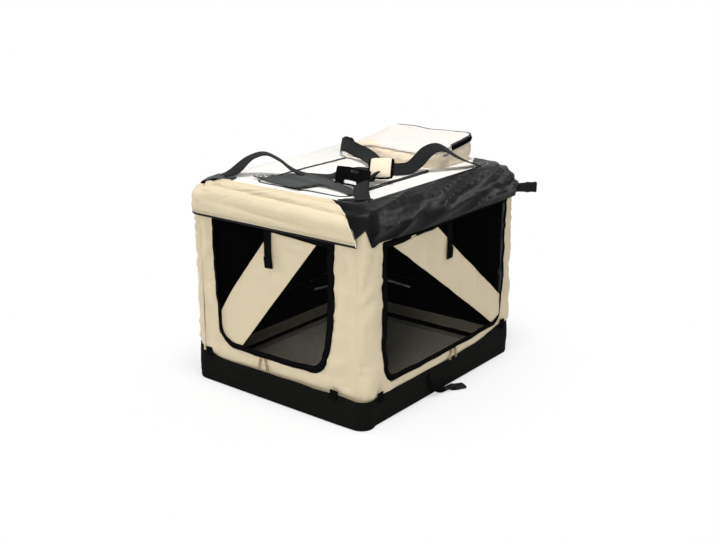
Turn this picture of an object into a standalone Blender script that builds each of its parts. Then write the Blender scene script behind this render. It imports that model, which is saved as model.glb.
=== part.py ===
"""Folding dog crate: a steel tube frame with knee-jointed posts that lets the roof drop onto the base,
a cloth cover with zipped net doors, a hatch and a pocket in the roof, and two webbing handles."""

import math

import bmesh
import bpy
from mathutils import Matrix, Vector

# Overall size, over the outer faces of the cloth walls
LENGTH = 0.700
WIDTH = 0.580
HEM_HEIGHT = 0.468
SKIRT_HEIGHT = 0.082

# Gap between pieces that touch, and how far pieces that are joined run into each other
GAP = 0.0003
LAP = 0.004

# Cloth. A wall runs up behind the roof edge
CLOTH = 0.003
THIN_CLOTH = 0.0015
WALL_CORNER = 0.030
WALL_TUCK = 0.040
TRAY_HEIGHT = 0.024
TRAY_EDGE = 0.006
SKIRT_PROUD = 0.0008
SEAM_TAIL = 0.004
SEAM_GAP = 0.0012
ARC_STEPS = 5

# Steel frame: tube radius, and the room between the posts and the cloth
TUBE = 0.008
TUBE_SIDES = 14
RING_CORNER = 0.025
POST_ROOM_X = 0.005
POST_ROOM_Y = 0.015
FOLDED_ROOM = 0.0005
EYE_RADIUS = 0.0075
EYE_WIDTH = 0.009
CHEEK = 0.003
CHEEK_GAP = 0.0003
PIN_RADIUS = 0.003
PIN_CLEARANCE = 0.0003
PIN_SIDES = 12
RIVET_SHORT = 0.001
NECK = 0.024
SHOULDER = 0.0145
BRACKET_PLATE = 0.003
BRACKET_REACH = 0.040
BRACKET_ROOM = 0.0007
BRACKET_MARGIN = 0.001
TOP_PIVOT_RISE = 0.023
ARCH_BEND = 0.045
ARCH_RISE = 0.072
ARCH_FOOT = 0.0142

# Knee lock buttons
BUTTON_RADIUS = 0.004
BUTTON_LENGTH = 0.006
BUTTON_PROUD = 0.0025
BUTTON_TRAVEL = 0.0025
BUTTON_DROP = 0.045
BUTTON_EDGE = 0.0008

# Doors and windows: margins to the wall's ends, sills over the skirt, lower corner radii
DOOR_HEAD_DROP = 0.004
FRONT_DOOR_LEFT_MARGIN = 0.078
FRONT_DOOR_RIGHT_MARGIN = 0.098
FRONT_SILL_RISE = 0.032
FRONT_DOOR_CORNER = 0.075
SIDE_DOOR_MARGIN = 0.059
SIDE_SILL_RISE = 0.024
SIDE_DOOR_CORNER = 0.050
WINDOW_MARGIN = 0.090
WINDOW_SILL_RISE = 0.068
WINDOW_CORNER = 0.060
COVER_OVERLAP = 0.012
BINDING_WIDTH = 0.014
BINDING_THICKNESS = 0.002
NET_THICKNESS = 0.001
NET_LAP = 0.008
NET_PITCH = 0.055
STRAND = 0.004

# The slanting strips on the doors: across from the door's middle, then up from its head or its sill
STRIP_CUT_OFF = 0.016
FRONT_STRIP_HIGH = ((0.158, STRIP_CUT_OFF), (0.000, STRIP_CUT_OFF))
FRONT_STRIP_LOW = ((-0.240, 0.061), (-0.118, -0.024))
SIDE_STRIP_HIGH = ((0.030, -0.069), (-0.072, STRIP_CUT_OFF), (-0.280, STRIP_CUT_OFF))
SIDE_STRIP_LOW = ((0.148, 0.034), (0.262, -0.046), (0.310, 0.074))

# Webbing. A tie runs up behind the hem, a tab straddles the skirt's top edge
WEBBING = 0.0016
TIE_WIDTH = 0.026
TIE_LENGTH = 0.104
TIE_TUCK = 0.012
FRONT_TIE_SHIFT = -0.020
TAB_WIDTH = 0.024
TAB_HEIGHT = 0.032
TAB_RISE = 0.012
TAB_MARGIN_NEAR = 0.054
TAB_MARGIN_FAR = 0.095
HANDLE_WIDTH = 0.038
HANDLE_THICKNESS = 0.0025
HANDLE_FOOT_INSET = 0.0067
GRIP_LENGTH = 0.050
GRIP_WIDTH = 0.052
GRIP_HEIGHT = 0.016
GRIP_SLOT_ROOM = 0.0024
GRIP_SLOT_SIDE_ROOM = 0.006
GRIP_EDGE = 0.002

# Roof: margins to the edges of the flat part, and how far the hatch and the pocket sit to the right
HATCH_WIDTH = 0.290
HATCH_SHIFT = 0.020
HATCH_FRONT_MARGIN = 0.0345
HATCH_OPEN_LENGTH = 0.075
HATCH_CORNER = 0.030
POCKET_WIDTH = 0.320
POCKET_LENGTH = 0.180
POCKET_SHIFT = 0.010
POCKET_REAR_MARGIN = 0.0065
POCKET_TO_HATCH = 0.023
POCKET_DEPTH = 0.044
POCKET_CORNER = 0.022
POCKET_LID = 0.006

# Mat
MAT_THICKNESS = 0.017
MAT_CROWN = 0.003
MAT_CLEARANCE = 0.002

# Zip sliders: width, length, height, and the same of their pulls
SLIDER = (0.010, 0.013, 0.0022)
PULL = (0.007, 0.020, 0.0012)
PULL_LAP = 0.003
PULL_STEP = 0.0005
SLIDER_DROP = 0.005
SLIDER_SPACING = 0.018
SLIDER_SPLAY = 14
FRONT_SLIDER_SHIFT = -0.031
SIDE_SLIDER_SHIFT = 0.035
HATCH_SLIDER_OUT = 0.007
HATCH_SLIDER_ALONG = 0.055
POCKET_SLIDER_ALONG = 0.040
POCKET_ZIP_DROP = 0.009

# Buckles on short straps: width, length, height, and the cut in the buckle's mouth
BUCKLE = (0.030, 0.034, 0.010)
BUCKLE_EDGE = 0.0025
BUCKLE_WALL = 0.004
BUCKLE_ROOF = 0.002
BUCKLE_MOUTH = 0.018
BUCKLE_STRAP = 0.025
BUCKLE_TAIL = 0.030
LOWER_BUCKLE_SHIFT = -0.015
LOWER_BUCKLE_TURN = 60
UPPER_BUCKLE_RISE = 0.020
UPPER_BUCKLE_TURN = 45
BUCKLE_GAP = 0.0009

# Roof edge in section, from the hem up: inset from the wall's outer face, height over the hem
EAVE_SECTION = (
    (-0.0075, 0.000), (-0.0090, 0.020), (-0.0075, 0.037), (0.0000, 0.055),
    (0.0120, 0.071), (0.0300, 0.084), (0.0500, 0.0925), (0.0550, 0.0925),
)
EAVE_END_SHARE = 0.64
EAVE_HEM_CORNER = 0.040
EAVE_TOP_CORNER = 0.045

# Handle routes, chosen by hand: across, back from the roof's front edge or on from the pocket's, up
FRONT_HANDLE_ROUTE = (
    (-0.228, 0.030, 0.000), (-0.210, 0.053, 0.016), (-0.185, 0.079, 0.044), (-0.155, 0.103, 0.056),
    (-0.122, 0.125, 0.040), (-0.092, 0.145, 0.014), (-0.050, 0.163, 0.003), (0.005, 0.175, 0.006),
    (0.036, 0.199, 0.016), (0.066, 0.216, 0.024), (0.100, 0.217, 0.025), (0.134, 0.217, 0.026),
    (0.160, 0.187, 0.028), (0.185, 0.130, 0.028), (0.212, 0.070, 0.016), (0.228, 0.030, 0.000),
)
REAR_HANDLE_ROUTE = (
    (-0.228, 0.104, 0.000), (-0.212, 0.068, 0.036), (-0.196, 0.032, 0.046), (-0.160, -0.028, 0.034),
    (-0.085, -0.066, 0.014), (-0.010, -0.106, 0.004), (0.070, -0.138, 0.003), (0.118, -0.124, 0.004),
    (0.148, -0.082, 0.022), (0.168, -0.042, 0.044), (0.190, 0.000, 0.046), (0.212, 0.052, 0.026),
    (0.228, 0.104, 0.000),
)
GRIP_START = 9
GRIP_END = 11

# What follows from the sizes above
HALF_X = WIDTH / 2
HALF_Y = LENGTH / 2
POST_X = HALF_X - CLOTH - TUBE - POST_ROOM_X
POST_Y = HALF_Y - CLOTH - TUBE - POST_ROOM_Y
TUBE_OFFSET = TUBE + FOLDED_ROOM
NECK_SIDE = TUBE_OFFSET + EYE_RADIUS
RING_HEIGHT = CLOTH + GAP + TUBE
BRACKET_SEAT = RING_HEIGHT + TUBE + GAP
BRACKET_HEAD = TUBE_OFFSET + TUBE + BRACKET_ROOM
BASE_PIVOT_HEIGHT = BRACKET_SEAT + BRACKET_PLATE + BRACKET_HEAD
TOP_PIVOT_HEIGHT = HEM_HEIGHT + TOP_PIVOT_RISE
LINK = (TOP_PIVOT_HEIGHT - BASE_PIVOT_HEIGHT) / 2
RAIL_HEIGHT = TOP_PIVOT_HEIGHT + BASE_PIVOT_HEIGHT - RING_HEIGHT
ARCH_HEIGHT = HEM_HEIGHT + ARCH_RISE
WALL_TOP = HEM_HEIGHT + WALL_TUCK
DOOR_HEAD = HEM_HEIGHT - DOOR_HEAD_DROP
FRONT_SILL = SKIRT_HEIGHT + FRONT_SILL_RISE
SIDE_SILL = SKIRT_HEIGHT + SIDE_SILL_RISE
WINDOW_SILL = SKIRT_HEIGHT + WINDOW_SILL_RISE
FRONT_DOOR_CENTRE = (FRONT_DOOR_LEFT_MARGIN - FRONT_DOOR_RIGHT_MARGIN) / 2
FRONT_DOOR_HALF = HALF_X - (FRONT_DOOR_LEFT_MARGIN + FRONT_DOOR_RIGHT_MARGIN) / 2
SIDE_DOOR_HALF = HALF_Y - SIDE_DOOR_MARGIN
REAR_WINDOW_HALF = HALF_X - WINDOW_MARGIN
LEFT_WINDOW_HALF = HALF_Y - WINDOW_MARGIN
EAVE_INSET, EAVE_RISE = EAVE_SECTION[-1]
ROOF_TOP = HEM_HEIGHT + EAVE_RISE
ROOF_HALF_X = HALF_X - EAVE_INSET - GAP
ROOF_HALF_Y = HALF_Y - EAVE_INSET * EAVE_END_SHARE - GAP
POCKET_LEFT, POCKET_RIGHT = POCKET_SHIFT - POCKET_WIDTH / 2, POCKET_SHIFT + POCKET_WIDTH / 2
POCKET_REAR = ROOF_HALF_Y - POCKET_REAR_MARGIN
POCKET_FRONT = POCKET_REAR - POCKET_LENGTH
HATCH_LEFT, HATCH_RIGHT = HATCH_SHIFT - HATCH_WIDTH / 2, HATCH_SHIFT + HATCH_WIDTH / 2
HATCH_FRONT = HATCH_FRONT_MARGIN - ROOF_HALF_Y
HATCH_PANEL_FRONT = HATCH_FRONT + HATCH_OPEN_LENGTH
HATCH_REAR = POCKET_FRONT - POCKET_TO_HATCH

PARTS = "folding_dog_crate"
CUTTERS = "cutters"


def clear_scene():
    for item in list(bpy.data.objects):
        bpy.data.objects.remove(item, do_unlink=True)
    for name in (PARTS, CUTTERS):
        collection = bpy.data.collections.new(name)
        bpy.context.scene.collection.children.link(collection)
        COLLECTIONS[name] = collection


def finish(name, color, roughness, metallic=0.0):
    """A Principled material."""
    material = bpy.data.materials.new(name)
    material.use_nodes = True
    shader = material.node_tree.nodes["Principled BSDF"]
    shader.inputs["Base Color"].default_value = (*color, 1.0)
    shader.inputs["Roughness"].default_value = roughness
    shader.inputs["Metallic"].default_value = metallic
    return material


def make_finishes():
    FINISHES["cream"] = finish("cream_cloth", (0.80, 0.69, 0.50), 0.85)
    FINISHES["black"] = finish("black_cloth", (0.012, 0.012, 0.013), 0.80)
    FINISHES["nylon"] = finish("black_nylon", (0.020, 0.021, 0.023), 0.45)
    FINISHES["webbing"] = finish("black_webbing", (0.016, 0.016, 0.017), 0.75)
    FINISHES["net"] = finish("black_net", (0.010, 0.010, 0.011), 0.70)
    FINISHES["steel"] = finish("grey_steel", (0.45, 0.46, 0.48), 0.35, 1.0)
    FINISHES["plastic"] = finish("black_plastic", (0.015, 0.015, 0.016), 0.40)
    FINISHES["zip"] = finish("zip_metal", (0.30, 0.30, 0.31), 0.35, 1.0)
    FINISHES["mat"] = finish("mat_fleece", (0.16, 0.145, 0.12), 0.95)


def add(name, mesh, material, place=None, collection=PARTS):
    piece = bpy.data.objects.new(name, mesh)
    COLLECTIONS[collection].objects.link(piece)
    if place is not None:
        piece.matrix_world = place
    if material:
        mesh.materials.clear()
        mesh.materials.append(FINISHES[material])
    return piece


def evaluated_mesh(piece):
    """The piece's mesh with its modifiers, its loose caps welded, as a mesh of its own."""
    bpy.context.view_layer.update()
    graph = bpy.context.evaluated_depsgraph_get()
    mesh = bpy.data.meshes.new_from_object(piece.evaluated_get(graph))
    shape = bmesh.new()
    shape.from_mesh(mesh)
    bmesh.ops.remove_doubles(shape, verts=shape.verts, dist=0.00001)
    shape.to_mesh(mesh)
    shape.free()
    return mesh


def settle(piece, *operands):
    """Turn a piece and its modifiers into a plain mesh piece, and drop what cut or joined it."""
    mesh = evaluated_mesh(piece)
    name, place = piece.name, piece.matrix_world.copy()
    material = piece.data.materials[0] if piece.data.materials else None
    for item in (piece, *operands):
        bpy.data.objects.remove(item, do_unlink=True)
    mesh.materials.clear()
    settled = add(name, mesh, None, place)
    if material:
        mesh.materials.append(material)
    return settled


def shade(piece, angle=35):
    piece.data.shade_smooth()
    piece.data.set_sharp_from_angle(angle=math.radians(angle))
    return piece


def box(name, size, centre, material=None, collection=PARTS, place=None):
    shape = bmesh.new()
    bmesh.ops.create_cube(shape, size=1.0)
    bmesh.ops.scale(shape, vec=size, verts=shape.verts)
    bmesh.ops.translate(shape, vec=centre, verts=shape.verts)
    mesh = bpy.data.meshes.new(name)
    shape.to_mesh(mesh)
    shape.free()
    return add(name, mesh, material, place, collection)


def rod(name, radius, start, end, material=None, collection=PARTS, sides=TUBE_SIDES, place=None):
    """A straight round bar from start to end."""
    start, end = Vector(start), Vector(end)
    shape = bmesh.new()
    bmesh.ops.create_cone(shape, cap_ends=True, segments=sides, radius1=radius, radius2=radius,
                          depth=(end - start).length)
    turn = (end - start).to_track_quat("Z", "Y").to_matrix().to_4x4()
    bmesh.ops.transform(shape, matrix=Matrix.Translation((start + end) / 2) @ turn, verts=shape.verts)
    mesh = bpy.data.meshes.new(name)
    shape.to_mesh(mesh)
    shape.free()
    return add(name, mesh, material, place, collection)


def flat_piece(name, outlines, thickness, place, material=None, collection=PARTS, out=0.0):
    """A flat piece cut to one or more outlines, its outer face at height out over its own plane."""
    curve = bpy.data.curves.new(name, "CURVE")
    curve.dimensions = "2D"
    curve.fill_mode = "BOTH"
    curve.extrude = thickness / 2
    for outline in outlines:
        spline = curve.splines.new("POLY")
        spline.points.add(len(outline) - 1)
        for point, (u, v) in zip(spline.points, outline):
            point.co = (u, v, 0.0, 1.0)
        spline.use_cyclic_u = True
    guide = bpy.data.objects.new(name, curve)
    COLLECTIONS[collection].objects.link(guide)
    mesh = evaluated_mesh(guide)
    bpy.data.objects.remove(guide, do_unlink=True)
    mesh.transform(Matrix.Translation((0.0, 0.0, out - thickness / 2)))
    return add(name, mesh, material, place, collection)


def bent_tube(name, points, radius, material, closed=False, resolution=2):
    curve = bpy.data.curves.new(name, "CURVE")
    curve.dimensions = "3D"
    curve.bevel_depth = radius
    curve.bevel_resolution = resolution
    curve.use_fill_caps = not closed
    spline = curve.splines.new("POLY")
    spline.points.add(len(points) - 1)
    for point, place in zip(spline.points, points):
        point.co = (*place, 1.0)
    spline.use_cyclic_u = closed
    piece = bpy.data.objects.new(name, curve)
    COLLECTIONS[PARTS].objects.link(piece)
    curve.materials.append(FINISHES[material])
    return piece


def cut(piece, cutter):
    modifier = piece.modifiers.new("cut", "BOOLEAN")
    modifier.operation = "DIFFERENCE"
    modifier.object = cutter
    hide(cutter)


def join(piece, other):
    modifier = piece.modifiers.new("join", "BOOLEAN")
    modifier.operation = "UNION"
    modifier.object = other
    hide(other)


def hide(cutter):
    cutter.hide_render = True
    cutter.display_type = "WIRE"


def pivot(name, location, parent=None):
    """An empty on a joint's axis that carries a moving piece."""
    empty = bpy.data.objects.new(name, None)
    COLLECTIONS[PARTS].objects.link(empty)
    empty.empty_display_size = 0.03
    empty.location = location
    if parent:
        hang(parent, empty)
    return empty


def hang(parent, *pieces):
    """Parent pieces to an empty and leave them where they are."""
    bpy.context.view_layer.update()
    for piece in pieces:
        piece.parent = parent
        piece.matrix_parent_inverse = parent.matrix_world.inverted()


def side_plane(side):
    """The outer face of a wall as a plane: across it, up it, and out of it."""
    across, reach = {
        "front": (Vector((1, 0, 0)), HALF_Y),
        "right": (Vector((0, 1, 0)), HALF_X),
        "rear": (Vector((-1, 0, 0)), HALF_Y),
        "left": (Vector((0, -1, 0)), HALF_X),
    }[side]
    up = Vector((0, 0, 1))
    out = across.cross(up)
    turn = Matrix((across, up, out)).transposed().to_4x4()
    return Matrix.Translation(out * reach) @ turn


def arc(centre_u, centre_v, radius, start, end, steps=ARC_STEPS):
    """Points on an arc, in degrees, both ends included."""
    angles = [math.radians(start + (end - start) * step / steps) for step in range(steps + 1)]
    return [(centre_u + radius * math.cos(a), centre_v + radius * math.sin(a)) for a in angles]


def rounded_rectangle(left, right, low, high, radius, steps=ARC_STEPS):
    return (arc(right - radius, low + radius, radius, -90, 0, steps)
            + arc(right - radius, high - radius, radius, 0, 90, steps)
            + arc(left + radius, high - radius, radius, 90, 180, steps)
            + arc(left + radius, low + radius, radius, 180, 270, steps))


def door_outline(centre, half, sill, head, radius):
    """A doorway: square at its head, rounded at its lower corners."""
    return (arc(centre - half + radius, sill + radius, radius, 180, 270)
            + arc(centre + half - radius, sill + radius, radius, 270, 360)
            + [(centre + half, head), (centre - half, head)])


def plan_loop(inset_x, inset_y, radius, height):
    """A level loop round the crate, inset from its outer faces, starting at the front right corner."""
    half_x, half_y = HALF_X - inset_x, HALF_Y - inset_y
    corners = ((1, -1, -90), (1, 1, 0), (-1, 1, 90), (-1, -1, 180))
    points = []
    for side_x, side_y, start in corners:
        points += arc(side_x * (half_x - radius), side_y * (half_y - radius), radius, start, start + 90)
    return [Vector((x, y, height)) for x, y in points]


CORNER = ARC_STEPS + 1
STRETCHES = {
    "right": range(0, 2 * CORNER),
    "rear": range(2 * CORNER - 1, 2 * CORNER + 1),
    "left": range(2 * CORNER, 4 * CORNER),
    "front": (4 * CORNER - 1, 0),
}


def stretch_points(loop, stretch):
    """One side of a loop. A side that turns the corners runs on a little, and the next one starts there."""
    points = [loop[index].copy() for index in stretch]
    if len(points) == 2:
        step = (points[1] - points[0]).normalized() * (SEAM_TAIL + SEAM_GAP)
        return [points[0] + step, points[1] - step]
    before, after = loop[stretch[0] - 1], loop[(stretch[-1] + 1) % len(loop)]
    start = points[0] + (before - points[0]).normalized() * SEAM_TAIL
    end = points[-1] + (after - points[-1]).normalized() * SEAM_TAIL
    return [start, *points, end]


def band(name, loops, stretch, material, thickness=CLOTH):
    """Cloth between level loops, along one stretch of them or right round, thickened inwards."""
    shape = bmesh.new()
    rows = []
    for loop in loops:
        points = stretch_points(loop, stretch) if stretch else loop
        rows.append([shape.verts.new(point) for point in points])
    columns = len(rows[0]) if not stretch else len(rows[0]) - 1
    for lower, upper in zip(rows, rows[1:]):
        for column in range(columns):
            after = (column + 1) % len(lower)
            shape.faces.new((lower[column], lower[after], upper[after], upper[column]))
    mesh = bpy.data.meshes.new(name)
    shape.to_mesh(mesh)
    shape.free()
    piece = add(name, mesh, material)
    thicken(piece, thickness)
    return piece


def thicken(piece, thickness):
    modifier = piece.modifiers.new("cloth", "SOLIDIFY")
    modifier.thickness = thickness
    modifier.offset = -1.0
    modifier.use_even_offset = True
    modifier.use_quality_normals = True


def make_tray():
    """The cloth floor with its upstand round the base ring."""
    turned_up = [(TRAY_EDGE - TRAY_EDGE * math.sin(angle), TRAY_EDGE - TRAY_EDGE * math.cos(angle))
                 for angle in (0.0, math.pi / 4, math.pi / 2)]
    loops = [plan_loop(inset - SKIRT_PROUD, inset - SKIRT_PROUD, WALL_CORNER, height)
             for inset, height in turned_up + [(0.0, TRAY_HEIGHT)]]
    shape = bmesh.new()
    rows = [[shape.verts.new(point) for point in loop] for loop in loops]
    shape.faces.new(list(reversed(rows[0])))
    for lower, upper in zip(rows, rows[1:]):
        for column in range(len(lower)):
            after = (column + 1) % len(lower)
            shape.faces.new((lower[column], lower[after], upper[after], upper[column]))
    mesh = bpy.data.meshes.new("base_tray")
    shape.to_mesh(mesh)
    shape.free()
    tray = add("base_tray", mesh, "black")
    thicken(tray, CLOTH)
    return tray


def make_skirt():
    """The black lower band of the walls with the webbing tabs that hold it to the cream cloth."""
    heights = (TRAY_HEIGHT + GAP, SKIRT_HEIGHT)
    loops = [plan_loop(-SKIRT_PROUD, -SKIRT_PROUD, WALL_CORNER, height) for height in heights]
    skirt = band("base_skirt", loops, None, "black")
    tab_places = [("right", TAB_MARGIN_NEAR - HALF_Y), ("right", HALF_Y - TAB_MARGIN_NEAR),
                  ("left", TAB_MARGIN_NEAR - HALF_Y), ("left", HALF_Y - TAB_MARGIN_NEAR),
                  ("front", TAB_MARGIN_NEAR - HALF_X), ("front", HALF_X - TAB_MARGIN_FAR),
                  ("rear", TAB_MARGIN_FAR - HALF_X), ("rear", HALF_X - TAB_MARGIN_NEAR)]
    shape = bmesh.new()
    for side, along in tab_places:
        low, high = SKIRT_HEIGHT + TAB_RISE - TAB_HEIGHT, SKIRT_HEIGHT + TAB_RISE
        centre = Vector((along, (low + high) / 2, GAP + WEBBING / 2))
        size = Matrix.Diagonal((TAB_WIDTH, TAB_HEIGHT, WEBBING, 1.0))
        bmesh.ops.create_cube(shape, size=1.0, matrix=side_plane(side) @ Matrix.Translation(centre) @ size)
    mesh = bpy.data.meshes.new("skirt_tabs")
    shape.to_mesh(mesh)
    shape.free()
    join(skirt, add("skirt_tabs", mesh, None, None, CUTTERS))
    return skirt


def make_walls():
    """Four cream walls, each with its doorway or window cut out. The long walls run round the corners."""
    openings = {
        "front": door_outline(FRONT_DOOR_CENTRE, FRONT_DOOR_HALF, FRONT_SILL, DOOR_HEAD, FRONT_DOOR_CORNER),
        "right": door_outline(0.0, SIDE_DOOR_HALF, SIDE_SILL, DOOR_HEAD, SIDE_DOOR_CORNER),
        "rear": rounded_rectangle(-REAR_WINDOW_HALF, REAR_WINDOW_HALF, WINDOW_SILL,
                                  DOOR_HEAD - COVER_OVERLAP, WINDOW_CORNER),
        "left": rounded_rectangle(-LEFT_WINDOW_HALF, LEFT_WINDOW_HALF, WINDOW_SILL,
                                  DOOR_HEAD - COVER_OVERLAP, WINDOW_CORNER),
    }
    loops = [plan_loop(0.0, 0.0, WALL_CORNER, height) for height in (SKIRT_HEIGHT + GAP, WALL_TOP)]
    walls = []
    for side, outline in openings.items():
        wall = band(side + "_wall", loops, STRETCHES[side], "cream")
        cutter = flat_piece(side + "_opening", [outline], 4 * CLOTH, side_plane(side), None, CUTTERS,
                            2 * CLOTH)
        cut(wall, cutter)
        walls.append(wall)
    return walls


def shrunk_door(centre, half, sill, head, radius, inset):
    return door_outline(centre, half - inset, sill + inset, head - inset, radius - inset)


def net(name, outline, place, out, low_u, high_u, low_v, high_v, inside):
    """A net: a thin sheet cut to an outline, with square gaps wherever a whole one fits."""
    sheet = flat_piece(name, [outline], NET_THICKNESS, place, "net", PARTS, out)
    count_u = max(1, int((high_u - low_u) / NET_PITCH))
    count_v = max(1, int((high_v - low_v) / NET_PITCH))
    gap_size = NET_PITCH - STRAND
    shape = bmesh.new()
    for column in range(count_u):
        for row in range(count_v):
            u = (low_u + high_u) / 2 + (column - (count_u - 1) / 2) * NET_PITCH
            v = (low_v + high_v) / 2 + (row - (count_v - 1) / 2) * NET_PITCH
            corners = [(u + a * gap_size / 2, v + b * gap_size / 2) for a in (-1, 1) for b in (-1, 1)]
            if all(inside(corner) for corner in corners):
                size = Matrix.Diagonal((gap_size, gap_size, 4 * NET_THICKNESS, 1.0))
                bmesh.ops.create_cube(shape, size=1.0, matrix=Matrix.Translation((u, v, out)) @ size)
    mesh = bpy.data.meshes.new(name + "_gaps")
    shape.to_mesh(mesh)
    shape.free()
    cut(sheet, add(name + "_gaps", mesh, None, place, CUTTERS))
    return sheet


def inside_round_corners(left, right, low, high, radius, round_top):
    """A test of whether a point lies inside an outline with rounded lower, or all, corners."""
    def test(point):
        u, v = point
        if not (left < u < right and low < v < high):
            return False
        near_u = max(left + radius - u, u - (right - radius), 0.0)
        near_v = max(low + radius - v, v - (high - radius) if round_top else 0.0, 0.0)
        return math.hypot(near_u, near_v) <= radius
    return test


def make_door(side, centre, half, sill, radius, high_points, low_points):
    """A net door in its black zip binding, with a cream strip sewn slantwise across it."""
    place = side_plane(side)
    head = DOOR_HEAD - GAP
    strip = ([(centre + across, DOOR_HEAD + up) for across, up in high_points]
             + [(centre + across, sill + up) for across, up in low_points])
    outer = shrunk_door(centre, half, sill, DOOR_HEAD, radius, GAP)
    inner = shrunk_door(centre, half, sill, DOOR_HEAD, radius, BINDING_WIDTH)
    binding = flat_piece(side + "_door_binding", [outer, inner], BINDING_THICKNESS, place, "webbing")
    lap = BINDING_WIDTH - NET_LAP
    edge = shrunk_door(centre, half, sill, DOOR_HEAD, radius, lap)
    bounds = (centre - half + BINDING_WIDTH, centre + half - BINDING_WIDTH, sill + BINDING_WIDTH,
              head - BINDING_WIDTH)
    screen = net(side + "_door_net", edge, place, -BINDING_THICKNESS - GAP, *bounds,
                 inside_round_corners(*bounds, radius - BINDING_WIDTH, False))
    panel = flat_piece(side + "_door_strip", [strip], THIN_CLOTH, place, "cream", PARTS,
                       -BINDING_THICKNESS + THIN_CLOTH)
    trim = flat_piece(side + "_strip_trim", [shrunk_door(centre, half, sill, DOOR_HEAD, radius,
                                                         BINDING_WIDTH + GAP)],
                      6 * BINDING_THICKNESS, place, None, CUTTERS, 3 * BINDING_THICKNESS)
    keep_inside(panel, trim)
    return [binding, screen, panel]


def keep_inside(piece, limit):
    modifier = piece.modifiers.new("trim", "BOOLEAN")
    modifier.operation = "INTERSECT"
    modifier.object = limit
    hide(limit)


def make_front_door():
    return make_door("front", FRONT_DOOR_CENTRE, FRONT_DOOR_HALF, FRONT_SILL, FRONT_DOOR_CORNER,
                     FRONT_STRIP_HIGH, FRONT_STRIP_LOW)


def make_side_door():
    return make_door("right", 0.0, SIDE_DOOR_HALF, SIDE_SILL, SIDE_DOOR_CORNER,
                     SIDE_STRIP_HIGH, SIDE_STRIP_LOW)


def make_window(side, half):
    """A net window behind the wall and the cover flap that hangs over it."""
    place = side_plane(side)
    head = DOOR_HEAD - COVER_OVERLAP
    edge = rounded_rectangle(-half - NET_LAP, half + NET_LAP, WINDOW_SILL - NET_LAP, head + NET_LAP,
                             WINDOW_CORNER + NET_LAP)
    bounds = (-half, half, WINDOW_SILL, head)
    screen = net(side + "_window_net", edge, place, -CLOTH - GAP, *bounds,
                 inside_round_corners(*bounds, WINDOW_CORNER, True))
    flap = door_outline(0.0, half + COVER_OVERLAP, WINDOW_SILL - COVER_OVERLAP, DOOR_HEAD,
                        WINDOW_CORNER + COVER_OVERLAP)
    cover = flat_piece(side + "_window_cover", [flap], THIN_CLOTH, place, "cream", PARTS, GAP + THIN_CLOTH)
    return [screen, cover]


def make_eaves():
    """The padded roof edge in four pieces. The black side pieces run round the corners."""
    loops = []
    for inset, rise in EAVE_SECTION:
        share = max(0.0, inset / EAVE_INSET)
        radius = EAVE_HEM_CORNER + (EAVE_TOP_CORNER - EAVE_HEM_CORNER) * share
        inset_y = inset * EAVE_END_SHARE if inset > 0 else inset
        loops.append(plan_loop(inset, inset_y, radius, HEM_HEIGHT + rise))
    pieces = []
    for side, material in (("right", "nylon"), ("rear", "cream"), ("left", "nylon"), ("front", "cream")):
        pieces.append(shade(settle(band(side + "_eave", loops, STRETCHES[side], material))))
    return pieces


def roof_plane(height):
    return Matrix.Translation((0.0, 0.0, height))


def make_roof():
    """The roof sheet with the hatch opening, and the net below it."""
    outline = rounded_rectangle(-ROOF_HALF_X, ROOF_HALF_X, -ROOF_HALF_Y, ROOF_HALF_Y, EAVE_TOP_CORNER)
    opening = rounded_rectangle(HATCH_LEFT, HATCH_RIGHT, HATCH_FRONT, HATCH_REAR, HATCH_CORNER)
    roof = flat_piece("roof_panel", [outline, opening], CLOTH, roof_plane(ROOF_TOP), "cream")
    edge = rounded_rectangle(HATCH_LEFT - NET_LAP, HATCH_RIGHT + NET_LAP, HATCH_FRONT - NET_LAP,
                             HATCH_REAR + NET_LAP, HATCH_CORNER + NET_LAP)
    bounds = (HATCH_LEFT, HATCH_RIGHT, HATCH_FRONT, HATCH_REAR)
    screen = net("roof_net", edge, roof_plane(ROOF_TOP), -CLOTH - GAP, *bounds,
                 inside_round_corners(*bounds, HATCH_CORNER, True))
    return [roof, screen]


def make_hatch():
    outline = rounded_rectangle(HATCH_LEFT + GAP, HATCH_RIGHT - GAP, HATCH_PANEL_FRONT, HATCH_REAR - GAP,
                                HATCH_CORNER)
    return flat_piece("roof_hatch", [outline], CLOTH, roof_plane(ROOF_TOP), "cream")


def make_pocket():
    """The flat storage pocket: a floor with a gusset round it, and a padded lid zipped on top."""
    top = ROOF_TOP + GAP
    sizes = (POCKET_LEFT, POCKET_RIGHT, POCKET_FRONT, POCKET_REAR)
    outline = rounded_rectangle(*sizes, POCKET_CORNER)
    gusset = flat_piece("pocket_gusset", [outline], POCKET_DEPTH, roof_plane(top), "cream", PARTS,
                        POCKET_DEPTH)
    hollow = rounded_rectangle(POCKET_LEFT + CLOTH, POCKET_RIGHT - CLOTH, POCKET_FRONT + CLOTH,
                               POCKET_REAR - CLOTH, POCKET_CORNER - CLOTH)
    cut(gusset, flat_piece("pocket_hollow", [hollow], POCKET_DEPTH, roof_plane(top + CLOTH), None, CUTTERS,
                           POCKET_DEPTH))
    lid = flat_piece("pocket_lid", [outline], POCKET_LID, roof_plane(top + POCKET_DEPTH + GAP), "cream",
                     PARTS, POCKET_LID)
    soften(lid, POCKET_LID / 3)
    return gusset, lid


def soften(piece, width):
    modifier = piece.modifiers.new("edge", "BEVEL")
    modifier.width = width
    modifier.segments = 2
    modifier.limit_method = "ANGLE"


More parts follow.
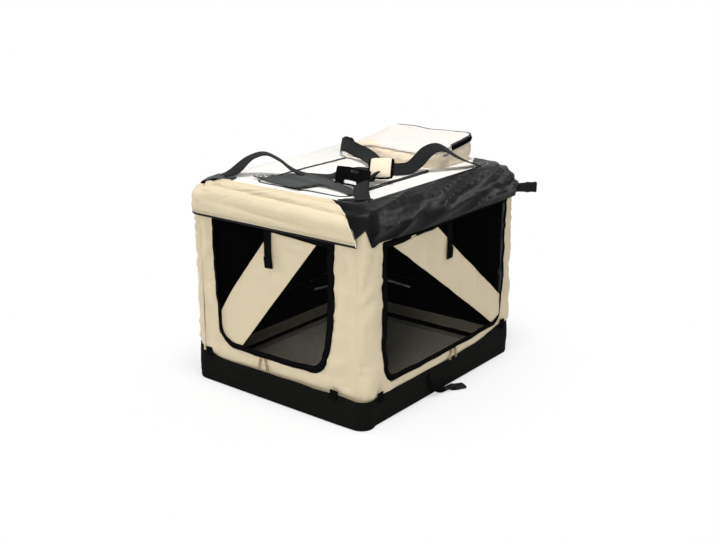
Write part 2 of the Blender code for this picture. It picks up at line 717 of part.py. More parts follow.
def make_mat():
    """A loose padded mat inside the base ring: its top crowned, its edge drawn in."""
    reach_x, reach_y = POST_X - TUBE - MAT_CLEARANCE, POST_Y - TUBE - MAT_CLEARANCE
    low = CLOTH + GAP
    section = [(0.004, 0.0), (0.0, 0.35), (0.0015, 0.70), (0.008, 0.92), (0.030, 1.0)]
    rows = []
    shape = bmesh.new()
    for inset, share in section:
        loop = rounded_rectangle(-reach_x + inset, reach_x - inset, -reach_y + inset, reach_y - inset,
                                 RING_CORNER)
        rows.append([shape.verts.new((x, y, low + share * (MAT_THICKNESS - MAT_CROWN))) for x, y in loop])
    rows.append([shape.verts.new((vert.co.x * 0.5, vert.co.y * 0.5, low + MAT_THICKNESS))
                 for vert in rows[-1]])
    shape.faces.new(list(reversed(rows[0])))
    for lower, upper in zip(rows, rows[1:]):
        for column in range(len(lower)):
            after = (column + 1) % len(lower)
            shape.faces.new((lower[column], lower[after], upper[after], upper[column]))
    shape.faces.new(rows[-1])
    mesh = bpy.data.meshes.new("floor_mat")
    shape.to_mesh(mesh)
    shape.free()
    return shade(add("floor_mat", mesh, "mat"))


def fork_outline(length):
    """A hinge cheek: round about the pin, with a neck to one side that runs down to its root."""
    inner = TUBE_OFFSET - TUBE
    start = math.degrees(math.acos(inner / EYE_RADIUS))
    return ([(inner, -length), (NECK_SIDE, -length), (NECK_SIDE, -SHOULDER)]
            + arc(0.0, 0.0, EYE_RADIUS, 0, 360 - start, 10))


HINGE_PLANE = Matrix(((0, 0, 1, 0), (1, 0, 0, 0), (0, 1, 0, 0), (0, 0, 0, 1)))
CHEEK_INSIDE = EYE_WIDTH / 2 + CHEEK_GAP
CHEEK_OUTSIDE = CHEEK_INSIDE + CHEEK


def eye(name, flip, place):
    """A flat eye on a tube's end, with its bore for the pin."""
    outline = fork_outline(NECK)
    if flip:
        outline = [(u, -v) for u, v in reversed(outline)]
    return flat_piece(name, [outline], EYE_WIDTH, place @ HINGE_PLANE, None, PARTS, EYE_WIDTH / 2)


def bore(piece, centre_height):
    radius = PIN_RADIUS + PIN_CLEARANCE
    drill = rod("drill", radius, (-EYE_WIDTH, 0.0, centre_height), (EYE_WIDTH, 0.0, centre_height),
                None, CUTTERS, PIN_SIDES)
    cut(piece, drill)
    return drill


def pin(name, centre):
    """A riveted pin across a fork, along X."""
    reach = Vector((CHEEK_OUTSIDE - RIVET_SHORT, 0.0, 0.0))
    return rod(name, PIN_RADIUS, centre - reach, centre + reach, None, PARTS, PIN_SIDES)


def cheeks(name, outline, centre):
    """The two plates of a fork, either side of an eye."""
    plates = []
    for side in (-1, 1):
        shift = Vector((side * (CHEEK_INSIDE + CHEEK / 2), 0.0, 0.0))
        place = Matrix.Translation(centre + shift) @ HINGE_PLANE
        plates.append(flat_piece(name, [outline], CHEEK, place, None, PARTS, CHEEK / 2))
    return plates


def lower_leg_mesh(button_side):
    """Eye at the base, fork and riveted pin at the knee, and the lock button's bore below it."""
    leg = rod("lower_leg", TUBE, (0.0, TUBE_OFFSET, NECK - LAP),
              (0.0, TUBE_OFFSET, LINK - NECK + LAP / 2), "steel")
    knee = Vector((0.0, 0.0, LINK))
    parts = [eye("foot_eye", True, Matrix.Identity(4))] + cheeks("knee_cheek", fork_outline(NECK + LAP), knee)
    web_low, web_high = LINK - NECK - LAP / 2, LINK - SHOULDER
    side_low = TUBE_OFFSET - TUBE
    web_size = (2 * CHEEK_OUTSIDE - CHEEK, NECK_SIDE - side_low - RIVET_SHORT, web_high - web_low)
    parts.append(box("knee_web", web_size, (0.0, (side_low + NECK_SIDE) / 2, (web_low + web_high) / 2)))
    parts.append(pin("knee_pin", knee))
    for part in parts:
        join(leg, part)
    drills = [bore(leg, 0.0)]
    depth = TUBE + BUTTON_PROUD - BUTTON_LENGTH - BUTTON_TRAVEL - GAP
    height = LINK - BUTTON_DROP
    drills.append(rod("button_bore", BUTTON_RADIUS + GAP, (button_side * depth, TUBE_OFFSET, height),
                      (button_side * (TUBE + LAP), TUBE_OFFSET, height), None, CUTTERS, PIN_SIDES))
    cut(leg, drills[1])
    return take_mesh(settle(leg, *parts, *drills))


def upper_leg_mesh():
    """An eye at each end: the knee's below and the roof frame's above."""
    leg = rod("upper_leg", TUBE, (0.0, TUBE_OFFSET, NECK - LAP),
              (0.0, TUBE_OFFSET, LINK - NECK + LAP), "steel")
    parts = [eye("knee_eye", True, Matrix.Identity(4)),
             eye("top_eye", False, Matrix.Translation((0.0, 0.0, LINK)))]
    for part in parts:
        join(leg, part)
    drills = [bore(leg, 0.0), bore(leg, LINK)]
    return take_mesh(settle(leg, *parts, *drills))


def take_mesh(piece):
    mesh = piece.data
    bpy.data.objects.remove(piece, do_unlink=True)
    mesh.shade_smooth()
    mesh.set_sharp_from_angle(angle=math.radians(35))
    return mesh


def bracket_mesh():
    """A base hinge: a plate on the ring, two cheeks and the pin."""
    low = -BRACKET_HEAD - BRACKET_PLATE
    plate = box("bracket", (2 * (CHEEK_OUTSIDE + BRACKET_MARGIN), BRACKET_REACH, BRACKET_PLATE),
                (0.0, BRACKET_REACH / 2 - EYE_RADIUS - BRACKET_MARGIN, low + BRACKET_PLATE / 2), "steel")
    root = low + BRACKET_PLATE / 2
    outline = [(-EYE_RADIUS, root), (EYE_RADIUS, root)] + arc(0.0, 0.0, EYE_RADIUS, 0, 180, 8)
    centre = Vector((0.0, 0.0, 0.0))
    parts = cheeks("base_cheek", outline, centre) + [pin("base_pin", centre)]
    for part in parts:
        join(plate, part)
    return take_mesh(settle(plate, *parts))


CORNERS = {
    "front_left": (-1, -1), "front_right": (1, -1), "rear_left": (-1, 1), "rear_right": (1, 1),
}


def corner_place(corner, height):
    """A corner's hinge frame: its own +Y points to the middle of the crate."""
    side_x, side_y = CORNERS[corner]
    turn = Matrix.Rotation(math.pi, 4, "Z") if side_y > 0 else Matrix.Identity(4)
    return Matrix.Translation((side_x * POST_X, side_y * POST_Y, height)) @ turn


def make_posts():
    """The four knee-jointed posts, their base hinges and their lock buttons."""
    lower = {side: lower_leg_mesh(side) for side in (-1, 1)}
    upper = upper_leg_mesh()
    bracket = bracket_mesh()
    pieces = {"brackets": [], "lower": {}, "upper": {}, "buttons": {}}
    for corner, (side_x, side_y) in CORNERS.items():
        inward = side_x * side_y
        foot = corner_place(corner, BASE_PIVOT_HEIGHT)
        pieces["brackets"].append(add("base_hinge_" + corner, bracket, None, foot))
        pieces["lower"][corner] = add("lower_leg_" + corner, lower[inward], None, foot)
        pieces["upper"][corner] = add("upper_leg_" + corner, upper, None,
                                      corner_place(corner, BASE_PIVOT_HEIGHT + LINK))
        start = TUBE + BUTTON_PROUD - BUTTON_LENGTH
        height = LINK - BUTTON_DROP
        button = rod("knee_button_" + corner, BUTTON_RADIUS, (inward * start, TUBE_OFFSET, height),
                     (inward * (start + BUTTON_LENGTH), TUBE_OFFSET, height), "plastic", PARTS, PIN_SIDES,
                     foot)
        soften(button, BUTTON_EDGE)
        pieces["buttons"][corner] = shade(button)
    return pieces


def make_base_ring():
    loop = rounded_rectangle(-POST_X, POST_X, -POST_Y, POST_Y, RING_CORNER)
    return bent_tube("base_ring", [(x, y, RING_HEIGHT) for x, y in loop], TUBE, "steel", True)


def make_arch(name, side_y):
    """The bent tube across one end of the roof, with a hinge fork and pin at each foot."""
    centre_x, centre_z = POST_X - ARCH_BEND, ARCH_HEIGHT - ARCH_BEND
    bend = arc(centre_x, centre_z, ARCH_BEND, 0, 90, 7)
    foot = TOP_PIVOT_HEIGHT + ARCH_FOOT
    half = [(POST_X, foot)] + [point for point in bend if point[1] > foot]
    profile = half + [(-x, z) for x, z in reversed(half)]
    tube = bent_tube(name, [(x, side_y * POST_Y, z) for x, z in profile], TUBE, "steel")
    arch = settle(tube)
    arch.data.materials.clear()
    arch.data.materials.append(FINISHES["steel"])
    parts = []
    root = ARCH_FOOT + LAP
    outline = arc(0.0, 0.0, EYE_RADIUS, 180, 360, 8) + [(EYE_RADIUS, root), (-EYE_RADIUS, root)]
    for side_x in (-1, 1):
        centre = Vector((side_x * POST_X, side_y * POST_Y, TOP_PIVOT_HEIGHT))
        parts += cheeks("top_cheek", outline, centre) + [pin("top_pin", centre)]
    for part in parts:
        join(arch, part)
    return shade(settle(arch, *parts))


def make_roof_frame():
    arches = [make_arch("front_arch", -1), make_arch("rear_arch", 1)]
    reach = POST_Y - TUBE - GAP
    rails = []
    for name, side in (("left_rail", -1), ("right_rail", 1)):
        start, end = (side * POST_X, -reach, RAIL_HEIGHT), (side * POST_X, reach, RAIL_HEIGHT)
        rails.append(shade(rod(name, TUBE, start, end, "steel")))
    return arches + rails


def make_tie(name, side, along):
    """A webbing tie that hangs from behind the hem in front of a door."""
    place = side_plane(side)
    low, high = HEM_HEIGHT - TIE_LENGTH, HEM_HEIGHT + TIE_TUCK
    left, right = along - TIE_WIDTH / 2, along + TIE_WIDTH / 2
    outline = [(left, low), (right, low), (right, high), (left, high)]
    return flat_piece(name, [outline], WEBBING, place, "webbing", PARTS, GAP + WEBBING)


def smooth_route(route, steps=3):
    """Points on a smooth curve through the route's own points."""
    points = [Vector(point) for point in route]
    ends = [points[0] * 2 - points[1], *points, points[-1] * 2 - points[-2]]
    path = []
    for a, b, c, d in zip(ends, ends[1:], ends[2:], ends[3:]):
        for step in range(steps):
            t = step / steps
            path.append(0.5 * ((2 * b) + (c - a) * t + (2 * a - 5 * b + 4 * c - d) * t ** 2
                               + (3 * b - a - 3 * c + d) * t ** 3))
    path.append(points[-1])
    return path


def ribbon(name, path, width, thickness, material):
    """Flat webbing along a path, its width level and square to the path."""
    shape = bmesh.new()
    rows = []
    for index, point in enumerate(path):
        before, after = path[max(index - 1, 0)], path[min(index + 1, len(path) - 1)]
        along = (after - before).normalized()
        across = Vector((0.0, 0.0, 1.0)).cross(along).normalized()
        rows.append([shape.verts.new(point + across * side * width / 2) for side in (1, -1)])
    for (left, right), (next_left, next_right) in zip(rows, rows[1:]):
        shape.faces.new((left, right, next_right, next_left))
    mesh = bpy.data.meshes.new(name)
    shape.to_mesh(mesh)
    shape.free()
    piece = add(name, mesh, material)
    modifier = piece.modifiers.new("webbing", "SOLIDIFY")
    modifier.thickness = thickness
    modifier.offset = 1.0
    return piece


def placed_route(route, start_y):
    """A handle's route on the roof, spread so that its feet stand near the roof's two sides."""
    spread = (ROOF_HALF_X - HANDLE_FOOT_INSET) / route[-1][0]
    return [Vector((x * spread, start_y + y, ROOF_TOP + GAP + z)) for x, y, z in route]


def make_handles():
    """Two webbing handles over the roof, and the padded grip round the front one."""
    front_route = placed_route(FRONT_HANDLE_ROUTE, -ROOF_HALF_Y)
    rear_route = placed_route(REAR_HANDLE_ROUTE, POCKET_FRONT)
    handles = [ribbon(name, smooth_route(route), HANDLE_WIDTH, HANDLE_THICKNESS, "webbing")
               for name, route in (("front_handle", front_route), ("rear_handle", rear_route))]
    start, end = front_route[GRIP_START], front_route[GRIP_END]
    centre = (start + end) / 2 + Vector((0.0, 0.0, HANDLE_THICKNESS / 2))
    along = (end - start).normalized()
    across = Vector((0.0, 0.0, 1.0)).cross(along)
    turn = Matrix((along, across, along.cross(across))).transposed().to_4x4()
    place = Matrix.Translation(centre) @ turn
    size = (GRIP_LENGTH, GRIP_WIDTH, GRIP_HEIGHT)
    grip = box("handle_grip", size, (0.0, 0.0, 0.0), "cream", PARTS, place)
    slot_size = (2 * GRIP_LENGTH, HANDLE_WIDTH + GRIP_SLOT_SIDE_ROOM, HANDLE_THICKNESS + GRIP_SLOT_ROOM)
    cut(grip, box("grip_slot", slot_size, (0.0, 0.0, 0.0), None, CUTTERS, place))
    soften(grip, GRIP_EDGE)
    return handles, grip


def make_slider(name, place, turn=0.0):
    """A zip slider with its pull hanging from it, flat on the cloth."""
    width, length, height = SLIDER
    pull_width, pull_length, pull_height = PULL
    spin = place @ Matrix.Rotation(turn, 4, "Z")
    body = box(name, (width, length, height), (0.0, 0.0, GAP + height / 2), "zip", PARTS, spin)
    pull_centre = (0.0, PULL_LAP - (length + pull_length) / 2, GAP + PULL_STEP + pull_height / 2)
    pull = box("pull", (pull_width, pull_length, pull_height), pull_centre, None, CUTTERS, spin)
    join(body, pull)
    return body


def make_sliders():
    """A pair of sliders where each door's zip ends meet, and one each for the hatch and the pocket."""
    front_middle = FRONT_DOOR_CENTRE + FRONT_SLIDER_SHIFT
    pairs = (
        ("front", "front_slider_left", "front_slider_right", front_middle, FRONT_SILL, 0.0),
        ("right", "side_slider_front", "side_slider_rear", SIDE_SLIDER_SHIFT, SIDE_SILL, SKIRT_PROUD),
    )
    sliders = []
    for side, first, second, middle, sill, seat in pairs:
        for name, way in ((first, -1), (second, 1)):
            where = Vector((middle + way * SLIDER_SPACING / 2, sill - SLIDER_DROP, seat))
            place = side_plane(side) @ Matrix.Translation(where)
            sliders.append(make_slider(name, place, math.radians(way * SLIDER_SPLAY)))
    where = (HATCH_LEFT - HATCH_SLIDER_OUT, HATCH_FRONT + HATCH_SLIDER_ALONG, 0.0)
    sliders.append(make_slider("hatch_slider", roof_plane(ROOF_TOP) @ Matrix.Translation(where)))
    zip_height = ROOF_TOP + POCKET_DEPTH - POCKET_ZIP_DROP
    where = Vector((POCKET_FRONT + POCKET_SLIDER_ALONG, zip_height, POCKET_RIGHT - HALF_X))
    place = side_plane("right") @ Matrix.Translation(where)
    sliders.append(make_slider("pocket_slider", place, math.radians(-90)))
    return sliders


def buckle_mesh(name):
    """Half of a side-release buckle on its short strap: strap from the origin along +Y."""
    width, length, height = BUCKLE
    end = BUCKLE_TAIL - LAP + length
    strap = box(name, (BUCKLE_STRAP, BUCKLE_TAIL, WEBBING), (0.0, BUCKLE_TAIL / 2, 0.0), "plastic")
    body = box("buckle_body", (width, length, height), (0.0, end - length / 2, 0.0))
    soften(body, BUCKLE_EDGE)
    mouth_size = (width - 2 * BUCKLE_WALL, 2 * BUCKLE_MOUTH, height - 2 * BUCKLE_ROOF)
    mouth = box("buckle_mouth", mouth_size, (0.0, end, 0.0), None, CUTTERS)
    join(strap, body)
    cut(strap, mouth)
    return take_mesh(settle(strap, body, mouth))


def make_buckles():
    """One half is sewn to the tray and lies along it on the ground, the other stands on edge on the roof's corner."""
    mesh = buckle_mesh("buckle")
    slant = math.radians(LOWER_BUCKLE_TURN)
    tray_side = HALF_X + SKIRT_PROUD + BUCKLE_STRAP / 2 * math.sin(slant)
    floor_place = (Matrix.Translation((tray_side + BUCKLE_GAP, LOWER_BUCKLE_SHIFT, BUCKLE[2] / 2 + GAP))
                   @ Matrix.Rotation(slant - math.radians(90), 4, "Z"))
    lower = add("lower_buckle", mesh, None, floor_place)
    bulge = -EAVE_SECTION[1][0]
    corner = Vector((HALF_X + bulge - EAVE_HEM_CORNER, HALF_Y + bulge - EAVE_HEM_CORNER,
                     HEM_HEIGHT + UPPER_BUCKLE_RISE))
    turn = Matrix.Rotation(math.radians(-UPPER_BUCKLE_TURN), 4, "Z")
    flat_corner = EAVE_HEM_CORNER * math.cos(math.pi / (4 * ARC_STEPS))
    seat = Matrix.Translation((0.0, flat_corner + BUCKLE_GAP, 0.0))
    on_edge = Matrix.Rotation(math.radians(90), 4, "Y")
    upper = add("upper_buckle", mesh, None, Matrix.Translation(corner) @ turn @ seat @ on_edge)
    return lower, upper


def assemble():
    """Make every piece and hang the moving ones on empties at their joints."""
    make_tray()
    make_skirt()
    make_walls()
    make_mat()
    make_base_ring()
    posts = make_posts()
    frame = make_roof_frame()
    eaves = make_eaves()
    roof = make_roof()
    hatch = make_hatch()
    gusset, lid = make_pocket()
    front_door = make_front_door()
    side_door = make_side_door()
    left_net, left_cover = make_window("left", LEFT_WINDOW_HALF)
    rear_net, rear_cover = make_window("rear", REAR_WINDOW_HALF)
    ties = [make_tie("front_tie", "front", FRONT_TIE_SHIFT), make_tie("side_tie", "right", 0.0)]
    (front_handle, rear_handle), grip = make_handles()
    sliders = make_sliders()
    lower_buckle, upper_buckle = make_buckles()

    chains = {}
    for end, side_y in (("front", -1), ("rear", 1)):
        foot = pivot(end + "_base_pivot", (0.0, side_y * POST_Y, BASE_PIVOT_HEIGHT))
        knee = pivot(end + "_knee_pivot", (0.0, side_y * POST_Y, BASE_PIVOT_HEIGHT + LINK), foot)
        for side in ("left", "right"):
            corner = end + "_" + side
            hang(foot, posts["lower"][corner], posts["buttons"][corner])
            hang(knee, posts["upper"][corner])
        chains[end] = knee
    top = pivot("roof_pivot", (0.0, -POST_Y, TOP_PIVOT_HEIGHT), chains["front"])
    hang(top, *frame, *eaves, *roof, gusset, *ties, left_net, rear_net, *sliders[-2:])
    handle_height = ROOF_TOP + GAP
    front_foot = FRONT_HANDLE_ROUTE[0][1] - ROOF_HALF_Y
    rear_foot = REAR_HANDLE_ROUTE[0][1] + POCKET_FRONT
    swings = {
        "front_door_pivot": ((0.0, -HALF_Y, DOOR_HEAD), front_door),
        "side_door_pivot": ((HALF_X, 0.0, DOOR_HEAD), side_door),
        "left_cover_pivot": ((-HALF_X, 0.0, DOOR_HEAD), [left_cover]),
        "rear_cover_pivot": ((0.0, HALF_Y, DOOR_HEAD), [rear_cover]),
        "hatch_pivot": ((0.0, HATCH_REAR, ROOF_TOP), [hatch]),
        "lid_pivot": ((0.0, POCKET_FRONT, ROOF_TOP + POCKET_DEPTH), [lid]),
        "front_handle_pivot": ((0.0, front_foot, handle_height), [front_handle, grip]),
        "rear_handle_pivot": ((0.0, rear_foot, handle_height), [rear_handle]),
        "upper_buckle_pivot": (tuple(upper_buckle.matrix_world.translation), [upper_buckle]),
    }
    for name, (place, pieces) in swings.items():
        hang(pivot(name, place, top), *pieces)
    hang(pivot("lower_buckle_pivot", tuple(lower_buckle.matrix_world.translation)), lower_buckle)


COLLECTIONS = {}
FINISHES = {}
clear_scene()
make_finishes()
assemble()
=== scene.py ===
"""The looks of a folding dog crate: cloth, nets, zips, webbing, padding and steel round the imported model."""

import math

import bmesh
import bpy
from mathutils import Matrix, Vector, noise


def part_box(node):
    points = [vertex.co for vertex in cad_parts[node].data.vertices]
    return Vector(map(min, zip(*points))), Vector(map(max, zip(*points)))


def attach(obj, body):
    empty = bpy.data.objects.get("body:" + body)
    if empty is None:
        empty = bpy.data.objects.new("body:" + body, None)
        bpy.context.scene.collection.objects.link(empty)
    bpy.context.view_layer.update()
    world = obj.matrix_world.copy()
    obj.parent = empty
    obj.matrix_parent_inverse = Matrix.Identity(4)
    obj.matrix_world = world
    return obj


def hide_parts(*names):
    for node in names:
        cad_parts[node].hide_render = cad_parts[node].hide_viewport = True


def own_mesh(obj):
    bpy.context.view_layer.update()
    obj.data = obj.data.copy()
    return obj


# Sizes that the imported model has, in metres
HALF_X, HALF_Y, CORNER = 0.290, 0.350, 0.030
TRAY_TOP, SKIRT_TOP, HEM, WALL_TOP, ROOF_TOP = 0.024, 0.082, 0.468, 0.508, 0.5605
ROOF_HALF_X, ROOF_HALF_Y, ROOF_CORNER = 0.2347, 0.3145, 0.045
DOOR_HEAD, UNDER_HEM = 0.464, 0.007
FRONT_DOOR = {"centre": -0.010, "half": 0.202, "sill": 0.114, "corner": 0.075}
SIDE_DOOR = {"centre": 0.0, "half": 0.291, "sill": 0.106, "corner": 0.050}
WINDOW_SILL, WINDOW_HEAD, WINDOW_CORNER = 0.150, 0.452, 0.060
LEFT_WINDOW_HALF, REAR_WINDOW_HALF, COVER_OVERLAP = 0.260, 0.200, 0.012
HATCH_LEFT, HATCH_RIGHT, HATCH_FRONT, HATCH_REAR, HATCH_CORNER = -0.125, 0.165, -0.280, 0.105, 0.030
POCKET_LEFT, POCKET_RIGHT, POCKET_FRONT, POCKET_REAR = -0.150, 0.170, 0.128, 0.308
HATCH_PLAY, POCKET_CORNER, LID = 0.002, 0.022, 0.006
EAVE_SECTION = (
    (-0.0075, 0.000), (-0.0090, 0.020), (-0.0075, 0.037), (0.0000, 0.055),
    (0.0120, 0.071), (0.0300, 0.084), (0.0500, 0.0925), (0.0550, 0.0925),
)
EAVE_END_SHARE = 0.64
FRONT_HANDLE_ROUTE = (
    (-0.228, 0.030, 0.000), (-0.210, 0.053, 0.016), (-0.185, 0.079, 0.044), (-0.155, 0.103, 0.056),
    (-0.122, 0.125, 0.040), (-0.092, 0.145, 0.014), (-0.050, 0.163, 0.003), (0.005, 0.175, 0.006),
    (0.036, 0.199, 0.016), (0.066, 0.216, 0.024), (0.100, 0.217, 0.025), (0.134, 0.217, 0.026),
    (0.145, 0.172, 0.030), (0.164, 0.112, 0.028), (0.196, 0.062, 0.018), (0.228, 0.030, 0.000),
)
REAR_HANDLE_ROUTE = (
    (-0.228, 0.128, 0.000), (-0.214, 0.098, 0.008), (-0.198, 0.062, 0.016), (-0.176, 0.024, 0.032),
    (-0.146, -0.010, 0.046), (-0.110, -0.026, 0.046), (-0.070, -0.038, 0.038), (-0.028, -0.054, 0.032),
    (0.012, -0.082, 0.026), (0.050, -0.112, 0.018), (0.085, -0.128, 0.011), (0.118, -0.124, 0.008),
    (0.146, -0.082, 0.030), (0.162, -0.040, 0.062), (0.184, -0.008, 0.066), (0.206, 0.040, 0.034),
    (0.228, 0.104, 0.000),
)
GRIP_START, GRIP_END = 9, 11

# How thick cloth and webbing are, and the gap that the pieces keep
CLOTH, WALL_CLOTH, ROOF_CLOTH, THIN = 0.003, 0.0022, 0.002, 0.0015
WEBBING, HANDLE_WIDTH, HANDLE_THICK = 0.0016, 0.038, 0.0025
GAP = 0.0003

# How far apart yarns, stitches and zip teeth are, and how wide a net's cell is open
NET_PITCH, NET_OPEN = 0.0036, 0.82
STITCH_STEP, TOOTH_STEP = 0.0042, 0.0016

# Lengths below these count as none
NEAR, TINY = 1e-6, 1e-9

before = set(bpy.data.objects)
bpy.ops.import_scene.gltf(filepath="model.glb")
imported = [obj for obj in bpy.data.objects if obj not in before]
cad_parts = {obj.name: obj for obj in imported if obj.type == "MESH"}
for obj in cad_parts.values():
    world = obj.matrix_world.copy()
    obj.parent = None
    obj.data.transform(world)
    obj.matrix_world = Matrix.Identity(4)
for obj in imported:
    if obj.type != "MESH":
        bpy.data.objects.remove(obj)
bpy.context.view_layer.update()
UP = Vector((0.0, 0.0, 1.0))


# Materials

def shader_of(name, color, roughness, metallic=0.0, **extra):
    """A new Principled material and its tree. extra are values of the shader's own sockets."""
    material = bpy.data.materials.new(name)
    material.use_nodes = True
    tree = material.node_tree
    shader = tree.nodes["Principled BSDF"]
    shader.inputs["Base Color"].default_value = (*color, 1.0)
    shader.inputs["Roughness"].default_value = roughness
    shader.inputs["Metallic"].default_value = metallic
    for socket, value in extra.items():
        shader.inputs[socket.replace("_", " ")].default_value = value
    return material, tree, shader


def node(tree, kind, settings=None, **inputs):
    """A node with its settings; each input is a value or another node's output."""
    made = tree.nodes.new(kind)
    for key, value in (settings or {}).items():
        setattr(made, key, value)
    for key, value in inputs.items():
        socket = made.inputs[int(key[1:])] if key[0] == "i" and key[1:].isdigit() else made.inputs[key]
        if isinstance(value, bpy.types.NodeSocket):
            tree.links.new(value, socket)
        else:
            socket.default_value = value
    return made


def maths(tree, operation, a, b=0.0):
    return node(tree, "ShaderNodeMath", {"operation": operation}, i0=a, i1=b).outputs[0]


def noise_of(tree, where, scale, detail=4.0, roughness=0.55, distortion=0.0):
    made = node(tree, "ShaderNodeTexNoise", None, Vector=where, Scale=scale, Detail=detail,
                Roughness=roughness, Distortion=distortion)
    return made.outputs["Fac"]


def weighted(tree, *parts):
    """The sum of (value, weight) pairs."""
    total = None
    for value, weight in parts:
        part = maths(tree, "MULTIPLY", value, weight)
        total = maths(tree, "ADD", total, part) if total else part
    return total


def spread(tree, value, low, high):
    """A 0 to 1 value as one from low to high."""
    made = node(tree, "ShaderNodeMapRange", None, Value=value)
    made.inputs["To Min"].default_value = low
    made.inputs["To Max"].default_value = high
    return made.outputs["Result"]


def tinted(tree, shader, color, share, dark, light):
    """The colour between its darker and its lighter shade, by share."""
    mix = node(tree, "ShaderNodeMix", {"data_type": "RGBA"}, i0=share)
    mix.inputs[6].default_value = (*(c * dark for c in color), 1.0)
    mix.inputs[7].default_value = (*(min(1.0, c * light) for c in color), 1.0)
    tree.links.new(mix.outputs[2], shader.inputs["Base Color"])


def raised(tree, shader, heights):
    """Bump from (height, strength, distance) triples, one over the other."""
    normal = None
    for height, strength, distance in heights:
        bump = node(tree, "ShaderNodeBump", None, Height=height, Strength=strength, Distance=distance)
        if normal:
            tree.links.new(normal, bump.inputs["Normal"])
        normal = bump.outputs["Normal"]
    tree.links.new(normal, shader.inputs["Normal"])


def threads(tree, where, pitch_u, pitch_v, slant=0.0):
    """A plain weave's height, from 0 to 1, on flat coordinates in metres."""
    parts = node(tree, "ShaderNodeSeparateXYZ", None, i0=where)
    u, v = parts.outputs[0], parts.outputs[1]
    if slant:
        u = maths(tree, "ADD", u, maths(tree, "MULTIPLY", v, slant))
    waves = [maths(tree, "SINE", maths(tree, "MULTIPLY", value, math.pi / pitch))
             for value, pitch in ((u, pitch_u), (v, pitch_v))]
    return spread_signed(tree, maths(tree, "MULTIPLY", *waves))


def spread_signed(tree, value):
    """A -1 to 1 value as one from 0 to 1."""
    return maths(tree, "ADD", maths(tree, "MULTIPLY", value, 0.5), 0.5)


def woven(name, color, roughness, pitch=0.0007, depth=0.00025, dark=0.86, light=1.06, sheen=0.15,
          specular=0.3, strength=0.5, creased=0.0):
    """Woven polyester: threads in bump and colour, soft mottling, faint slubs, and creases if asked for."""
    material, tree, shader = shader_of(name, color, roughness, Sheen_Weight=sheen, Sheen_Roughness=0.5)
    shader.inputs["Specular IOR Level"].default_value = specular
    where = node(tree, "ShaderNodeTexCoord").outputs["UV"]
    weave = threads(tree, where, pitch, pitch)
    mottle = noise_of(tree, where, 14.0, 5.0)
    slubs = noise_of(tree, where, 420.0, 2.0)
    share = weighted(tree, (mottle, 0.60), (slubs, 0.18), (weave, 0.22))
    tinted(tree, shader, color, share, dark, light)
    tree.links.new(spread(tree, mottle, roughness - 0.06, roughness + 0.06), shader.inputs["Roughness"])
    heights = [(mottle, 0.25, 0.002), (weave, strength, depth), (slubs, 0.2, depth)]
    if creased:
        for scale, distance in ((7.0, 0.014), (19.0, 0.005)):
            heights.append((noise_of(tree, where, scale, 1.0, 0.5, 0.4), creased, distance))
    raised(tree, shader, heights)
    return material


def coated(name, color, roughness):
    """Coated nylon: a low sheen, crinkled all over, with painted shade in the crinkles' hollows and a painted
    highlight on their crests.
    """
    material, tree, shader = shader_of(name, color, roughness, Sheen_Weight=0.0)
    shader.inputs["Specular IOR Level"].default_value = 0.065
    where = node(tree, "ShaderNodeTexCoord").outputs["UV"]
    drawn = node(tree, "ShaderNodeVectorMath", {"operation": "MULTIPLY"}, i0=where, i1=(0.4, 1.0, 1.0))
    crinkle = noise_of(tree, drawn.outputs[0], 34.0, 6.0, 0.60, 0.8)
    fine = noise_of(tree, where, 160.0, 3.0)
    weave = threads(tree, where, 0.0005, 0.0005)
    # Painted shade and highlight: the colour follows the crinkle bump, darker in its hollows and lighter on
    # its crests.
    tinted(tree, shader, color, crinkle, 0.6, 1.6)
    tree.links.new(spread(tree, fine, roughness - 0.10, roughness + 0.12), shader.inputs["Roughness"])
    raised(tree, shader, [(crinkle, 0.09, 0.005), (fine, 0.15, 0.0006), (weave, 0.25, 0.0001)])
    return material


def ribbed(name, color, roughness):
    """Webbing and binding tape: ribs across, a slanting twill between them."""
    material, tree, shader = shader_of(name, color, roughness, Sheen_Weight=0.0)
    shader.inputs["Specular IOR Level"].default_value = 0.10
    where = node(tree, "ShaderNodeTexCoord").outputs["UV"]
    ribs = threads(tree, where, 0.0011, 0.0022, 0.5)
    grime = noise_of(tree, where, 30.0, 5.0)
    tinted(tree, shader, color, weighted(tree, (ribs, 0.6), (grime, 0.4)), 0.6, 1.7)
    tree.links.new(spread(tree, grime, roughness - 0.1, roughness + 0.1), shader.inputs["Roughness"])
    raised(tree, shader, [(ribs, 0.7, 0.0005), (grime, 0.2, 0.001)])
    return material


def grained(name, color, roughness, metallic=0.0, scale=700.0, depth=0.0001, dark=0.8, light=1.2, wear=0.10,
            specular=0.5):
    """Moulded plastic, powder coat or cast metal: fine grain in bump and gloss, on Object coordinates."""
    material, tree, shader = shader_of(name, color, roughness, metallic)
    shader.inputs["Specular IOR Level"].default_value = specular
    where = node(tree, "ShaderNodeTexCoord").outputs["Object"]
    grain = noise_of(tree, where, scale, 3.0)
    clouds = noise_of(tree, where, 40.0, 4.0)
    tinted(tree, shader, color, clouds, dark, light)
    tree.links.new(spread(tree, clouds, roughness - wear, roughness + wear), shader.inputs["Roughness"])
    raised(tree, shader, [(grain, 0.5, depth), (clouds, 0.1, depth * 4)])
    return material


def fleecy(name, color):
    """Short fleece: tufted bump and a soft sheen."""
    material, tree, shader = shader_of(name, color, 0.95, Sheen_Weight=0.5, Sheen_Roughness=0.6)
    where = node(tree, "ShaderNodeTexCoord").outputs["Object"]
    tufts = noise_of(tree, where, 320.0, 4.0, 0.7)
    clumps = noise_of(tree, where, 45.0, 4.0)
    tinted(tree, shader, color, weighted(tree, (tufts, 0.5), (clumps, 0.5)), 0.65, 1.35)
    raised(tree, shader, [(clumps, 0.4, 0.003), (tufts, 0.8, 0.0012)])
    return material
